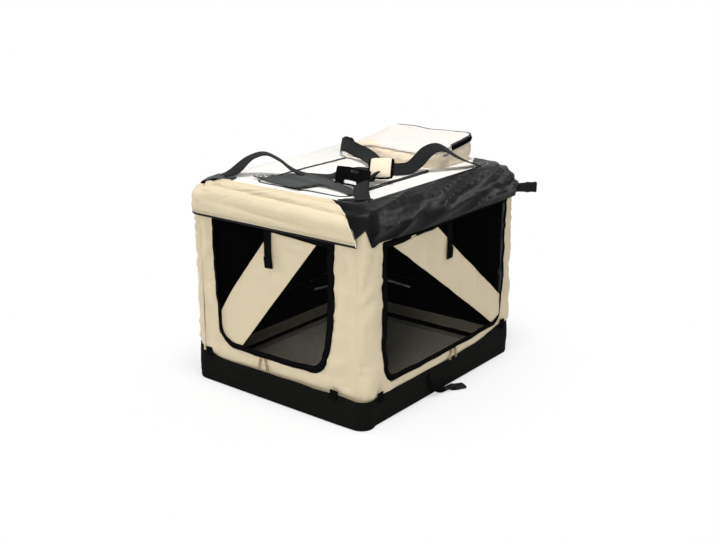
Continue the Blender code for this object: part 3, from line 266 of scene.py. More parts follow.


# The first colour is the walls' cream; the second is the same cream painted near white for the roof and its
# hatch: painted light from above.
CREAM, PAINTED_LIT_CREAM = (0.76, 0.646, 0.447), (0.93, 0.91, 0.86)
finishes = {
    "cream": woven("cream_polyester", CREAM, 0.85, creased=0.7),
    # Painted light: the roof's cream painted near white, as lit from above.
    "roof": woven("roof_cream_painted_lit", PAINTED_LIT_CREAM, 0.85),
    # Painted light: near-white tape that stands in for light showing through gaps at the far covers' low
    # edges.
    "slit": woven("painted_light_slit_tape", (0.93, 0.92, 0.90), 0.7),
    # Painted light: the pocket lid's top is the cream painted pale pink-white, as lit from above.
    "pocket": woven("pocket_cream_painted_lit_pink_white", (0.88, 0.82, 0.77), 0.85),
    "gusset": woven("peach_cream_polyester", (0.92, 0.79, 0.61), 0.85, creased=0.5),
    "cream_piping": woven("cream_piping_cloth", (0.84, 0.75, 0.58), 0.8),
    "black": woven("black_polyester", (0.0055, 0.0055, 0.005), 0.85, dark=0.6, light=1.8, sheen=0.0,
                   specular=0.03),
    "lining": woven("black_lining", (0.006, 0.006, 0.006), 0.95, dark=0.7, light=1.3, sheen=0.0,
                    specular=0.0),
    "nylon": coated("black_coated_nylon", (0.0035, 0.0037, 0.004), 0.33),
    "webbing": ribbed("black_ribbed_webbing", (0.010, 0.0104, 0.0107), 0.70),
    "binding": woven("black_binding_tape", (0.005, 0.005, 0.005), 0.9, 0.0009, dark=0.7, light=1.5,
                     sheen=0.0, specular=0.0),
    "mesh": woven("grey_hatch_mesh", (0.040, 0.042, 0.042), 0.7, 0.0013, 0.0005, 0.6, 1.5, 0.0, 0.2),
    "net": woven("black_net_yarn", (0.004, 0.004, 0.004), 0.90, 0.0006, 0.0001, 0.7, 1.5, 0.0, 0.0),
    "inside": woven("olive_floor_cloth", (0.38, 0.34, 0.26), 0.90, dark=0.75, light=1.15),
    "coil": grained("black_zip_coil", (0.020, 0.020, 0.021), 0.40, 0.0, 900.0, 0.00005),
    "steel": grained("dark_powder_coat", (0.10, 0.10, 0.105), 0.45, 0.0, 1100.0, 0.0001, 0.9, 1.1),
    "plastic": grained("black_moulded_plastic", (0.008, 0.008, 0.008), 0.42, 0.0, 1300.0, 0.00008),
    "zinc": grained("zinc_slider", (0.36, 0.36, 0.37), 0.32, 1.0, 800.0, 0.00005, 0.6, 1.3),
    "bronze": grained("dark_bronze_slider", (0.34, 0.26, 0.16), 0.35, 1.0, 800.0, 0.00005, 0.5, 1.6),
    # Painted light: the fleece is painted far paler than the mat's own dark grey-brown, standing in for the
    # light that reaches it through the nets.
    "fleece": fleecy("fleece_painted_paler_for_light", (0.72, 0.645, 0.47)),
    "cream_thread": grained("cream_thread", (0.72, 0.62, 0.44), 0.7, 0.0, 2500.0, 0.00005),
    "black_thread": grained("black_thread", (0.03, 0.03, 0.032), 0.6, 0.0, 2500.0, 0.00005),
}


# Making meshes

def add(name, mesh, *finish):
    piece = bpy.data.objects.new(name, mesh)
    bpy.context.scene.collection.objects.link(piece)
    mesh.materials.clear()
    for key in finish:
        mesh.materials.append(finishes[key])
    return piece


def plain_mesh(shape, name):
    mesh = bpy.data.meshes.new(name)
    shape.to_mesh(mesh)
    shape.free()
    return mesh


def settle(piece, angle=40):
    """Turn a piece's modifiers into its own mesh, shaded smooth but for its real edges."""
    bpy.context.view_layer.update()
    graph = bpy.context.evaluated_depsgraph_get()
    mesh = bpy.data.meshes.new_from_object(piece.evaluated_get(graph), depsgraph=graph)
    piece.modifiers.clear()
    piece.data = mesh
    mesh.shade_smooth()
    mesh.set_sharp_from_angle(angle=math.radians(angle))
    return piece


def fix_normals(piece):
    """Weld a piece's doubled points and turn all its faces outwards."""
    shape = bmesh.new()
    shape.from_mesh(piece.data)
    bmesh.ops.remove_doubles(shape, verts=shape.verts, dist=NEAR)
    bmesh.ops.recalc_face_normals(shape, faces=shape.faces)
    shape.to_mesh(piece.data)
    shape.free()
    return piece


def thicken(piece, thickness, inside=0, offset=-1.0):
    """Give a sheet its thickness. inside is the step from its outer finish to its inner one."""
    modifier = piece.modifiers.new("thickness", "SOLIDIFY")
    modifier.thickness = thickness
    modifier.offset = offset
    modifier.use_even_offset = False
    modifier.material_offset = inside
    return settle(piece)


def arc(centre_u, centre_v, radius, start, end, steps=8):
    angles = [math.radians(start + (end - start) * step / steps) for step in range(steps + 1)]
    return [(centre_u + radius * math.cos(a), centre_v + radius * math.sin(a)) for a in angles]


def rounded(left, right, low, high, radius, steps=8):
    return (arc(left + radius, low + radius, radius, 180, 270, steps)
            + arc(right - radius, low + radius, radius, 270, 360, steps)
            + arc(right - radius, high - radius, radius, 0, 90, steps)
            + arc(left + radius, high - radius, radius, 90, 180, steps))


def doorway(door, inset=0.0, head=DOOR_HEAD + UNDER_HEM):
    """A doorway's outline: square at its head, which runs up under the roof edge, rounded at its sill."""
    half, sill, radius = door["half"] - inset, door["sill"] + inset, door["corner"] - inset
    left, right = door["centre"] - half, door["centre"] + half
    return (arc(left + radius, sill + radius, radius, 180, 270, 12)
            + arc(right - radius, sill + radius, radius, 270, 360, 12)
            + [(right, head - inset), (left, head - inset)])


def halves_round(left, right, low, high, hole, centre):
    """A rectangle with a hole in it as two outlines that meet on the line u = centre."""
    def chain(side):
        inside = [side * (u - centre) > NEAR for u, _ in hole]
        start = next(i for i in range(len(hole)) if inside[i] and not inside[i - 1])
        count = sum(inside)
        return [hole[(start + i) % len(hole)] for i in range(count)]
    first, second = chain(-1), chain(1)
    return [
        [(left, low), (centre, low), (centre, first[-1][1])] + first[::-1]
        + [(centre, first[0][1]), (centre, high), (left, high)],
        [(right, high), (centre, high), (centre, second[-1][1])] + second[::-1]
        + [(centre, second[0][1]), (centre, low), (right, low)],
    ]


def inward(outline):
    """The direction into an anticlockwise outline at each of its points."""
    directions = []
    for (a, b), (c, d) in zip(outline[-1:] + outline[:-1], outline[1:] + outline[:1]):
        length = math.hypot(c - a, d - b)
        directions.append(((b - d) / length, (c - a) / length))
    return directions


def drawn_in(outline, insets):
    """An outline with each of its points moved into it by its own inset."""
    return [(u + n * inset, v + m * inset)
            for (u, v), (n, m), inset in zip(outline, inward(outline), insets)]


def within(point, outline):
    """Whether a flat point lies inside an outline."""
    u, v = point
    inside = False
    for (a, b), (c, d) in zip(outline, outline[1:] + outline[:1]):
        if (b > v) != (d > v) and u < (c - a) * (v - b) / (d - b) + a:
            inside = not inside
    return inside


def dense(outline, step):
    """An outline's flat points with more put in between."""
    points = []
    for (a, b), (c, d) in zip(outline, outline[1:] + outline[:1]):
        count = max(1, math.ceil(math.hypot(c - a, d - b) / step))
        points += [(a + (c - a) * i / count, b + (d - b) * i / count) for i in range(count)]
    return points


def run_lengths(points):
    """How far along a line of points each of them lies."""
    lengths = [0.0]
    for a, b in zip(points, points[1:]):
        lengths.append(lengths[-1] + (Vector(b) - Vector(a)).length)
    return lengths


def even_points(points, count):
    """count + 1 points at even steps along a line of points, its ends included."""
    lengths = run_lengths(points)
    picked, place = [], 0
    for index in range(count + 1):
        goal = lengths[-1] * index / count
        while place < len(points) - 2 and lengths[place + 1] < goal:
            place += 1
        share = (goal - lengths[place]) / max(lengths[place + 1] - lengths[place], TINY)
        picked.append(points[place].lerp(points[place + 1], min(1.0, share)))
    return picked


def hole_area(outline):
    """How much an outline encloses."""
    pairs = zip(outline, outline[1:] + outline[:1])
    return abs(sum(a * d - c * b for (a, b), (c, d) in pairs)) / 2


def flat_size(outline):
    """How wide and how long an outline is."""
    us, vs = zip(*outline)
    return max(us) - min(us), max(vs) - min(vs)


def patch(name, outlines, step, place, *finish):
    """A sheet cut to flat outlines, gridded every step, and laid in space by place(u, v)."""
    shape = bmesh.new()
    for outline in outlines:
        shape.faces.new([shape.verts.new((u, v, 0.0)) for u, v in outline])
    bmesh.ops.remove_doubles(shape, verts=shape.verts, dist=NEAR)
    for axis in (0, 1):
        values = [vert.co[axis] for vert in shape.verts]
        low, high = min(values), max(values)
        count = max(1, math.ceil((high - low) / step))
        direction = Vector((1 - axis, axis, 0))
        for line in range(1, count):
            spot = direction * (low + (high - low) * line / count)
            geometry = shape.verts[:] + shape.edges[:] + shape.faces[:]
            bmesh.ops.bisect_plane(shape, geom=geometry, plane_co=spot, plane_no=direction, dist=NEAR)
    layer = shape.loops.layers.uv.new("UVMap")
    for face in shape.faces:
        for loop in face.loops:
            loop[layer].uv = loop.vert.co.xy
    for vert in shape.verts:
        vert.co = place(vert.co.x, vert.co.y)
    return add(name, plain_mesh(shape, name), *finish)


def lined(name, outlines, step, place, finish, thickness):
    """A cut sheet with its thickness, lined in black."""
    return thicken(patch(name, outlines, step, place, finish, "lining"), thickness, 1)


def loft(name, rows, closed, *finish, caps=False):
    """Skin between rows of points, with its own lengths as UVs. closed joins each row's ends."""
    shape = bmesh.new()
    layer = shape.loops.layers.uv.new("UVMap")
    verts = [[shape.verts.new(point) for point in row] for row in rows]
    count = len(rows[0])
    middle = rows[len(rows) // 2]
    along, across = run_lengths([row[0] for row in rows]), run_lengths(middle + middle[:1])
    for i in range(len(rows) - 1):
        for j in range(count if closed else count - 1):
            k = (j + 1) % count
            face = shape.faces.new((verts[i][j], verts[i][k], verts[i + 1][k], verts[i + 1][j]))
            spots = ((i, j), (i, j + 1), (i + 1, j + 1), (i + 1, j))
            for loop, (a, b) in zip(face.loops, spots):
                loop[layer].uv = (along[a], across[b])
    if caps:
        shape.faces.new(verts[0][::-1])
        shape.faces.new(verts[-1])
    return add(name, plain_mesh(shape, name), *finish)


def turns(count):
    """count angles at even steps round a circle."""
    return [2 * math.pi * index / count for index in range(count)]


def shares(count):
    """The values from 0 to 1 in count even steps."""
    return [index / count for index in range(count + 1)]


def per_point(path, out):
    """One direction for each point of a path. out is a single one, or already the list."""
    return [out] * len(path) if isinstance(out, Vector) else out


def tangents(path, closed):
    count = len(path)
    return [(path[(i + 1) % count if closed else min(i + 1, count - 1)]
             - path[i - 1 if closed or i else 0]).normalized() for i in range(count)]


def sweep(name, path, normals, profile, closed, *finish, widths=None):
    """A solid strand along a path. normals is one outward direction, or one for each point. profile
    gives its section's (across, out) points, and widths stretch it."""
    rows = []
    points = zip(path, tangents(path, closed), per_point(path, normals))
    for index, (point, tangent, normal) in enumerate(points):
        side = normal.cross(tangent).normalized() * (widths[index] if widths else 1.0)
        out = tangent.cross(side).normalized()
        rows.append([point + side * a + out * b for a, b in profile])
    if closed:
        rows.append(rows[0])
    return settle(fix_normals(loft(name, rows, True, *finish, caps=not closed)))


def tape_section(width, thickness, crown=0.0):
    """A flat tape's section with soft edges, its underside on the path."""
    half, edge = width / 2, thickness / 2
    top = [(half - edge * 0.3, thickness * 0.85), (half * 0.5, thickness + crown * 0.8),
           (0.0, thickness + crown), (-half * 0.5, thickness + crown * 0.8),
           (-half + edge * 0.3, thickness * 0.85)]
    return [(-half, edge), (-half + edge * 0.5, 0.0), (half - edge * 0.5, 0.0), (half, edge)] + top


def round_section(radius, sides=8, lift=0.0):
    return [(radius * math.cos(a), radius * math.sin(a) + lift) for a in turns(sides)]


def join(name, pieces):
    """Several plain meshes as one piece."""
    shape = bmesh.new()
    finish = []
    for piece in pieces:
        offset = len(finish)
        start = len(shape.faces)
        shape.from_mesh(piece.data)
        shape.faces.ensure_lookup_table()
        for face in shape.faces[start:]:
            face.material_index += offset
        finish += list(piece.data.materials)
        bpy.data.objects.remove(piece, do_unlink=True)
    mesh = plain_mesh(shape, name)
    joined = add(name, mesh)
    kept = []
    for material in finish:
        if material not in kept:
            kept.append(material)
    indices = [kept.index(finish[polygon.material_index]) for polygon in mesh.polygons]
    for material in kept:
        mesh.materials.append(material)
    mesh.polygons.foreach_set("material_index", indices)
    return joined


# Geometry Nodes trees for what repeats

def new_tree(name, sockets):
    tree = bpy.data.node_groups.new(name, "GeometryNodeTree")
    tree.interface.new_socket("Geometry", in_out="INPUT", socket_type="NodeSocketGeometry")
    for label, kind in sockets:
        tree.interface.new_socket(label, in_out="INPUT", socket_type=kind)
    tree.interface.new_socket("Geometry", in_out="OUTPUT", socket_type="NodeSocketGeometry")
    return tree, tree.nodes.new("NodeGroupInput"), tree.nodes.new("NodeGroupOutput")


def make_row_tree():
    """Copies of a unit along a line, turned along it and out of the cloth."""
    tree, entry, end = new_tree("row_of_units", [
        ("Spacing", "NodeSocketFloat"), ("Unit", "NodeSocketObject"), ("Finish", "NodeSocketMaterial")])
    line = node(tree, "GeometryNodeMeshToCurve", None, Mesh=entry.outputs["Geometry"])
    even = node(tree, "GeometryNodeResampleCurve", {"mode": "LENGTH"}, Curve=line.outputs["Curve"],
                Length=entry.outputs["Spacing"])
    tangent = node(tree, "GeometryNodeInputTangent")
    out = node(tree, "GeometryNodeInputNamedAttribute", {"data_type": "FLOAT_VECTOR"}, Name="out")
    ahead = node(tree, "FunctionNodeAlignRotationToVector", {"axis": "X"},
                 Vector=tangent.outputs["Tangent"])
    upright = node(tree, "FunctionNodeAlignRotationToVector", {"axis": "Z", "pivot_axis": "X"},
                   Rotation=ahead.outputs["Rotation"], Vector=out.outputs["Attribute"])
    unit = node(tree, "GeometryNodeObjectInfo", None, Object=entry.outputs["Unit"])
    copies = node(tree, "GeometryNodeInstanceOnPoints", None, Points=even.outputs["Curve"],
                  Instance=unit.outputs["Geometry"], Rotation=upright.outputs["Rotation"])
    real = node(tree, "GeometryNodeRealizeInstances", None, Geometry=copies.outputs["Instances"])
    painted = node(tree, "GeometryNodeSetMaterial", None, Geometry=real.outputs["Geometry"],
                   Material=entry.outputs["Finish"])
    tree.links.new(painted.outputs["Geometry"], end.inputs["Geometry"])
    return tree


def make_net_tree():
    """Each cell of a grid becomes a frame of yarn round an open middle."""
    tree, entry, end = new_tree("net_of_yarn", [
        ("Open", "NodeSocketFloat"), ("Finish", "NodeSocketMaterial")])
    cells = node(tree, "GeometryNodeExtrudeMesh", {"mode": "FACES"}, Mesh=entry.outputs["Geometry"])
    cells.inputs["Offset Scale"].default_value = 0.0
    middles = node(tree, "GeometryNodeScaleElements", {"domain": "FACE"}, Geometry=cells.outputs["Mesh"],
                   Selection=cells.outputs["Top"], Scale=entry.outputs["Open"])
    yarn = node(tree, "GeometryNodeDeleteGeometry", {"domain": "FACE"},
                Geometry=middles.outputs["Geometry"], Selection=cells.outputs["Top"])
    real = node(tree, "GeometryNodeRealizeInstances", None, Geometry=yarn.outputs["Geometry"])
    painted = node(tree, "GeometryNodeSetMaterial", None, Geometry=real.outputs["Geometry"],
                   Material=entry.outputs["Finish"])
    tree.links.new(painted.outputs["Geometry"], end.inputs["Geometry"])
    return tree


row_tree, net_tree = make_row_tree(), make_net_tree()


def grow(piece, tree, **values):
    """Run a tree on a piece and keep the result as its plain mesh."""
    modifier = piece.modifiers.new(tree.name, "NODES")
    modifier.node_group = tree
    for item in tree.interface.items_tree:
        if item.in_out == "INPUT" and item.name in values:
            modifier[item.identifier] = values[item.name]
    return settle(piece)


def guide_line(name, path, normals, closed=False):
    """A bare line of points with the direction out of the cloth kept on each."""
    mesh = bpy.data.meshes.new(name)
    count = len(path)
    edges = [(i, (i + 1) % count) for i in range(count if closed else count - 1)]
    mesh.from_pydata([tuple(point) for point in path], edges, [])
    attribute = mesh.attributes.new("out", "FLOAT_VECTOR", "POINT")
    attribute.data.foreach_set("vector", [value for out in per_point(path, normals) for value in out])
    return add(name, mesh)


def capsule(length, width, height):
    """A stitch: a short rounded bar along X."""
    half = length / 2
    rows = []
    for x, share in ((-half, 0.25), (-half * 0.7, 0.85), (0.0, 1.0), (half * 0.7, 0.85), (half, 0.25)):
        rows.append([Vector((x, width / 2 * share * math.cos(a),
                             height * 0.5 + height / 2 * share * math.sin(a)))
                     for a in (math.pi * side / 3 for side in range(6))])
    return loft("stitch_unit", rows, True, "cream_thread", caps=True)


def tooth():
    """One turn of a zip coil, across the zip."""
    rows = []
    for y, rise in ((-0.0021, 0.0), (-0.0014, 0.0012), (0.0, 0.0016), (0.0014, 0.0012), (0.0021, 0.0)):
        rows.append([Vector((0.00042 * math.cos(a), y, rise + 0.00042 * math.sin(a)))
                     for a in (math.pi * side / 2.5 for side in range(5))])
    return loft("tooth_unit", rows, True, "coil", caps=True)


stitch_unit, tooth_unit = capsule(length=0.0030, width=0.0007, height=0.0005), tooth()


def stitches(name, path, normals, finish="cream_thread", closed=False):
    line = guide_line(name, path, normals, closed)
    return grow(line, row_tree, Spacing=STITCH_STEP, Unit=stitch_unit, Finish=finishes[finish])


def zip_teeth(name, path, normals, closed=False):
    line = guide_line(name, path, normals, closed)
    return grow(line, row_tree, Spacing=TOOTH_STEP, Unit=tooth_unit, Finish=finishes["coil"])


# Where cloth lies

def rumple(point, size, amount, stretch=(1.0, 1.0, 1.0)):
    """Smooth noise in metres, at most amount, with folds about size wide."""
    spot = Vector(value / (size * s) for value, s in zip(point, stretch))
    return amount * (noise.noise(spot) + 0.5 * noise.noise(spot * 2.03 + Vector((3.1, 7.7, 1.9))))


def clamped(value):
    """A value kept from 0 to 1."""
    return min(1.0, max(0.0, value))


def bell(value, centre, width):
    """1 at the centre, falling off smoothly within about a width of it."""
    return math.exp(-((value - centre) / width) ** 2)


SIDES = {
    "front": (Vector((1, 0, 0)), Vector((0, -1, 0)), HALF_X, HALF_Y),
    "right": (Vector((0, 1, 0)), Vector((1, 0, 0)), HALF_Y, HALF_X),
    "rear": (Vector((-1, 0, 0)), Vector((0, 1, 0)), HALF_X, HALF_Y),
    "left": (Vector((0, -1, 0)), Vector((-1, 0, 0)), HALF_Y, HALF_X),
}
ARC_LENGTH = CORNER * math.pi / 2


def wall_point(side, u, v, out=0.0):
    """A point over a wall: u across it and on round its corners, v up, out from its outer face."""
    across, outward, half_along, half_out = SIDES[side]
    way, reach, straight = (1 if u >= 0 else -1), abs(u), half_along - CORNER
    if reach <= straight:
        along, away = reach, half_out + out
    elif reach <= straight + ARC_LENGTH:
        turn = (reach - straight) / CORNER
        along = straight + (CORNER + out) * math.sin(turn)
        away = half_out - CORNER + (CORNER + out) * math.cos(turn)
    else:
        along, away = half_along + out, half_out - CORNER - (reach - straight - ARC_LENGTH)
    return across * way * along + outward * away + UP * v


def wall_outward(side, u):
    """The direction out of a wall, or of its round corner, at u."""
    return (wall_point(side, u, 0, 0.01) - wall_point(side, u, 0, 0)).normalized()


def window_hole(half, more=0.0):
    """A window's outline, wider by more all round."""
    return rounded(-half - more, half + more, WINDOW_SILL - more, WINDOW_HEAD + more, WINDOW_CORNER + more)


def hatch_hole(more=0.0):
    """The roof hatch's outline, wider by more all round."""
    return rounded(HATCH_LEFT - more, HATCH_RIGHT + more, HATCH_FRONT - more, HATCH_REAR + more,
                   HATCH_CORNER + more)


def crease(spot, sharp=3.0):
    """A network of long creases in noise, from 0 between them to 1 on them."""
    return (1 - abs(noise.noise(spot)) * 1.35) ** sharp if abs(noise.noise(spot)) < 0.74 else 0.0


def wall_folds(side, u, v):
    """How far a cream wall stands out: slanting creases, pleats near its corners, pulls under the hem."""
    flat = wall_point(side, u, v)
    half = SIDES[side][2]
    near_corner = math.exp(-abs(half - abs(u)) / 0.060)
    seam = half - CORNER + (ARC_LENGTH + 0.003 if side in ("left", "right") else -0.003)
    free = clamped((v - SKIRT_TOP + 0.006) / 0.030) * min(1.0, 0.06 + abs(seam - abs(u)) / 0.022)
    high = max(0.0, (v - 0.34) / 0.12)
    seed = {"front": 1.7, "right": 9.3, "rear": 17.1, "left": 24.9}[side]
    long_spot = Vector((u * 11 + v * 7, v * 13 - u * 6, seed))
    short_spot = Vector((u * 26 - v * 16, v * 24 + u * 12, seed + 4.0))
    soft = rumple(flat, 0.12, 0.0030, (1, 1, 1.7)) + rumple(flat, 0.035, 0.0012)
    creased = 0.0066 * crease(long_spot) - 0.0042 * crease(short_spot, 4.0) * (0.40 + near_corner)
    pleats = 0.0042 * near_corner * math.sin(abs(u) * 120 + 6 * flat.z + 2.0 * noise.noise(flat * 7))
    pulls = 0.0024 * near_corner * high * math.sin((abs(u) * 0.75 + v) * 240)
    sag = 0.0012 * near_corner * math.sin(v * 70 - abs(u) * 40 + 4 * noise.noise(flat * 9))
    out = free * (soft + creased + pleats + pulls + sag) + 0.0010 * near_corner * free
    return out if out < 0.0040 else 0.0040 + (out - 0.0040) * 0.35


def ring_stations(step=0.012):
    """(side, u) round the whole crate, at one height, anticlockwise from the front right corner."""
    spots = []
    for side in ("right", "rear", "left", "front"):
        half = SIDES[side][2] - CORNER
        count = math.ceil(2 * half / step)
        spots += [(side, -half + 2 * half * i / count) for i in range(count)]
        spots += [(side, half + ARC_LENGTH * i / 6) for i in range(6)]
    return spots


STATIONS = ring_stations()


def roof_wave(x, y):
    """How the roof cloth dips between its bows, never above its own height."""
    edge = min((ROOF_HALF_X - abs(x)) / 0.05, (ROOF_HALF_Y - abs(y)) / 0.05, 1.0)
    return -max(0.0, edge) * (0.0022 + rumple((x, y, 0.0), 0.12, 0.0016))


def roof_point(x, y, out=0.0):
    return Vector((x, y, ROOF_TOP + out + roof_wave(x, y)))


def finish_piece(piece, body, slot, *nodes, fold=None, keep=0.05):
    """Ride on a body and hide the CAD nodes that the piece stands for. slot is not used. fold only gives the
    piece a mesh of its own; keep is not used.
    """
    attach(piece, body)
    if nodes:
        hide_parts(*nodes)
    if fold is not None:
        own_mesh(piece)
    return piece


WALL_FOLD = {"fold": SKIRT_TOP, "keep": 0.09}
DOOR_FOLD = {"fold": DOOR_HEAD, "keep": 0.05}
SKIRT_FOLD = {"fold": TRAY_TOP, "keep": 0.72}
SKIRT_RIM = 0.0014
TAB_WIDTH, TAB_DROP, TAB_LENGTH = 0.024, 0.014, 0.026
TABS = (
    ("right", 0.054 - HALF_Y), ("right", HALF_Y - 0.054), ("left", 0.054 - HALF_Y),
    ("left", HALF_Y - 0.054), ("front", 0.054 - HALF_X), ("front", HALF_X - 0.095),
    ("rear", 0.095 - HALF_X), ("rear", HALF_X - 0.054),
)
MAT_HALF_X, MAT_HALF_Y, MAT_CORNER, MAT_LOW = 0.264, 0.314, 0.030, 0.0033
MAT_EDGE = ((0.010, 0.000), (0.002, 0.004), (0.001, 0.008), (0.006, 0.012), (0.020, 0.0155), (0.045, 0.017))


# Tray, skirt and mat

def make_tray():
    """The floor's black cloth tray with its low upstand, closed below."""
    levels = [(0.020, 0.0), (0.006, 0.0), (0.0018, 0.0017), (0.0, 0.006), (0.0, 0.013), (0.0, TRAY_TOP)]
    rows = []
    for inset, height in levels:
        row = []
        for side, u in STATIONS:
            flat = wall_point(side, u, height)
            soft = rumple(flat, 0.05, 0.0007) if height > 0.003 else 0.0
            row.append(wall_point(side, u, height, 0.0008 - inset + soft + spill(flat)))
        rows.append(row)
    tray = loft("floor_tray", rows, True, "black")
    shape = bmesh.new()
    shape.from_mesh(tray.data)
    shape.verts.ensure_lookup_table()
    shape.faces.new([shape.verts[index] for index in range(len(STATIONS))][::-1])
    shape.to_mesh(tray.data)
    shape.free()
    thicken(tray, CLOTH)
    return finish_piece(tray, "base", "black_cloth", "base_tray")


def spill(flat):
    """How far the base's cloth bulges out at the front, most at its near corner."""
    along = clamped((flat.x + HALF_X) / 0.50)
    past_corner = clamped((-flat.y - 0.312) / 0.036)
    return 0.015 * along * past_corner * max(0.0, 1 - flat.z / 0.13)


def skirt_top(flat):
    """The height of the skirt's wavy top edge, raised in the front left and the rear right corner."""
    front_left = math.exp(-((flat.x + HALF_X) ** 2 + (flat.y + HALF_Y) ** 2) / 0.0030)
    rear_right = math.exp(-((flat.x - HALF_X) ** 2 + (flat.y - 0.30) ** 2) / 0.0110)
    return 0.0765 + 0.026 * front_left + 0.023 * rear_right + rumple((flat.x, flat.y, 0.0), 0.12, 0.0034)


def skirt_out(side, u, height):
    flat = wall_point(side, u, height)
    bulge = 0.0014 * math.sin(math.pi * (height - TRAY_TOP) / (SKIRT_TOP - TRAY_TOP))
    soft = 0.0010 + bulge + rumple(flat, 0.07, 0.0017, (1, 1, 0.7)) + rumple(flat, 0.022, 0.0005)
    return soft + spill(flat)


def make_skirt():
    """The black band over the tray, with a seam at its foot and a rolled top edge."""
    rows = []
    for level in range(11):
        row = []
        for side, u in STATIONS:
            top = skirt_top(wall_point(side, u, 0.0))
            height = TRAY_TOP + GAP + (top - TRAY_TOP - GAP) * level / 10
            row.append(wall_point(side, u, height, skirt_out(side, u, height)))
        rows.append(row)
    skirt = thicken(loft("black_skirt", rows, True, "black", "inside"), CLOTH, 1)
    finish_piece(skirt, "base", "black_cloth", "base_skirt", **SKIRT_FOLD)
    normals = [wall_outward(side, u) for side, u in STATIONS]
    rims = []
    for name in ("seam", "top"):
        path = []
        for side, u in STATIONS:
            height = TRAY_TOP + 0.001 if name == "seam" else skirt_top(wall_point(side, u, 0.0)) - 0.0006
            path.append(wall_point(side, u, height, skirt_out(side, u, height) - 0.0006))
        rims.append(sweep("skirt_" + name, path, normals, round_section(SKIRT_RIM, 6), True, "black"))
    finish_piece(join("skirt_rims", rims), "base", "black_cloth", **SKIRT_FOLD)


def make_tabs():
    """Webbing tabs folded over the skirt's top edge, with rows of stitches on each."""
    tabs = []
    for index, (side, u) in enumerate(TABS):
        across, outward = SIDES[side][:2]
        lean_out = 0.0015 * (1 if index % 2 else -1)
        top = skirt_top(wall_point(side, u, 0.0))
        path = []
        for t in (0, 0.25, 0.5, 0.75, 1.0):
            height = top - TAB_DROP + TAB_LENGTH * t
            out = skirt_out(side, u, min(height, top)) + 0.0016
            path.append(wall_point(side, u + lean_out * t, height, out))
        tabs.append(sweep("tab", path, outward, tape_section(TAB_WIDTH, WEBBING, 0.0004), False, "binding"))
        for step in (0, 3):
            line = [path[step] + across * du + outward * 0.0019 + UP * 0.004 for du in (-0.010, 0.010)]
            tabs.append(stitches("tab_stitch", line, outward, "black_thread"))
    return finish_piece(join("skirt_tabs", tabs), "base", "black_webbing", **SKIRT_FOLD)


def swell(piece, pressure, cap, voxel, frames=20):
    """Puff a closed piece up with a short cloth simulation, no point moving more than cap."""
    modifier = piece.modifiers.new("remesh", "REMESH")
    modifier.mode = "VOXEL"
    modifier.voxel_size = voxel
    settle(piece)
    rest = [vert.co.copy() for vert in piece.data.vertices]
    cloth = piece.modifiers.new("cloth", "CLOTH")
    cloth.settings.use_pressure = True
    cloth.settings.uniform_pressure_force = pressure
    cloth.settings.effector_weights.gravity = 0.0
    cloth.settings.quality = 5
    cloth.settings.bending_stiffness = 0.4
    cloth.collision_settings.use_collision = False
    for moment in range(1, frames + 1):
        bpy.context.scene.frame_set(moment)
    graph = bpy.context.evaluated_depsgraph_get()
    puffed = bpy.data.meshes.new_from_object(piece.evaluated_get(graph), depsgraph=graph)
    piece.modifiers.clear()
    piece.data = puffed
    for vert, start in zip(puffed.vertices, rest):
        move = vert.co - start
        if move.length > cap:
            vert.co = start + move * (cap / move.length)
    bpy.context.scene.frame_set(1)
    return piece


def smooth_finer(piece, levels=1):
    modifier = piece.modifiers.new("finer", "SUBSURF")
    modifier.levels = modifier.render_levels = levels
    return settle(piece)


def make_mat():
    """The loose fleece mat: crowned, its edge drawn in, with a bound rim."""
    rows = []
    for inset, height in MAT_EDGE:
        reach_x, reach_y = MAT_HALF_X - inset, MAT_HALF_Y - inset
        outline = rounded(-reach_x, reach_x, -reach_y, reach_y, MAT_CORNER, 6)
        rows.append([Vector((x, y, MAT_LOW + height)) for x, y in dense(outline, 0.012)])
    count = min(len(row) for row in rows)
    rows = [even_points(row + row[:1], count)[:-1] for row in rows]
    shoulder = rows[-1]
    for share in (0.75, 0.5, 0.25, 0.04):
        rows.append([Vector((p.x * share, p.y * share, MAT_LOW + 0.0165 + rumple(p * share, 0.08, 0.0012)))
                     for p in shoulder])
    mat = loft("fleece_mat", rows, True, "fleece", caps=True)
    finish_piece(settle(mat, 70), "base", "mat_fleece", "floor_mat")
    edge = rows[2]
    normals = [Vector((p.x, p.y, 0)).normalized() for p in edge]
    rim = sweep("mat_binding", edge, normals, round_section(0.0032, 8, -0.0018), True, "inside")
    return finish_piece(rim, "base", "black_webbing")


def make_ring_sleeve():
    """The cloth sleeve that the floor has round the steel ring."""
    low, high = (Vector(corner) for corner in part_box("base_ring"))
    tube = (high.z - low.z) / 2
    outline = dense(rounded(low.x + tube, high.x - tube, low.y + tube, high.y - tube, 0.025, 6), 0.012)
    path = [Vector((x, y, (low.z + high.z) / 2)) for x, y in outline]
    sleeve = sweep("ring_sleeve", path, UP, round_section(tube + 0.0006, 12), True, "inside")
    finish_piece(sleeve, "base", "mat_fleece")


# Walls

def lean(side, u, v):
    """The doors hang askew: the front one is drawn in low down, the side one's near corner drops."""
    if side == "front":
        away = u - FRONT_DOOR["centre"]
        pull = 0.013 * bell(v, 0.20, 0.075) if away < 0 else -0.016 * bell(v, 0.165, 0.055)
        reach = min(1.0, abs(away) / 0.20) ** 3 * max(0.0, 1 - max(0.0, abs(away) - 0.21) / 0.045)
        return u + pull * reach, v
    if side != "right":
        return u, v
    drop = clamped((DOOR_HEAD - v) / 0.35)
    near = clamped(0.5 - u / 0.58)
    inner = 1.0 if abs(u) < 0.30 else max(0.0, 1 - (abs(u) - 0.30) / 0.03)
    return u + (0.016 * drop - 0.006) * near * inner, v - 0.008 * near * drop * inner


WALL_LOW, WALL_GRID = 0.060, 0.0075


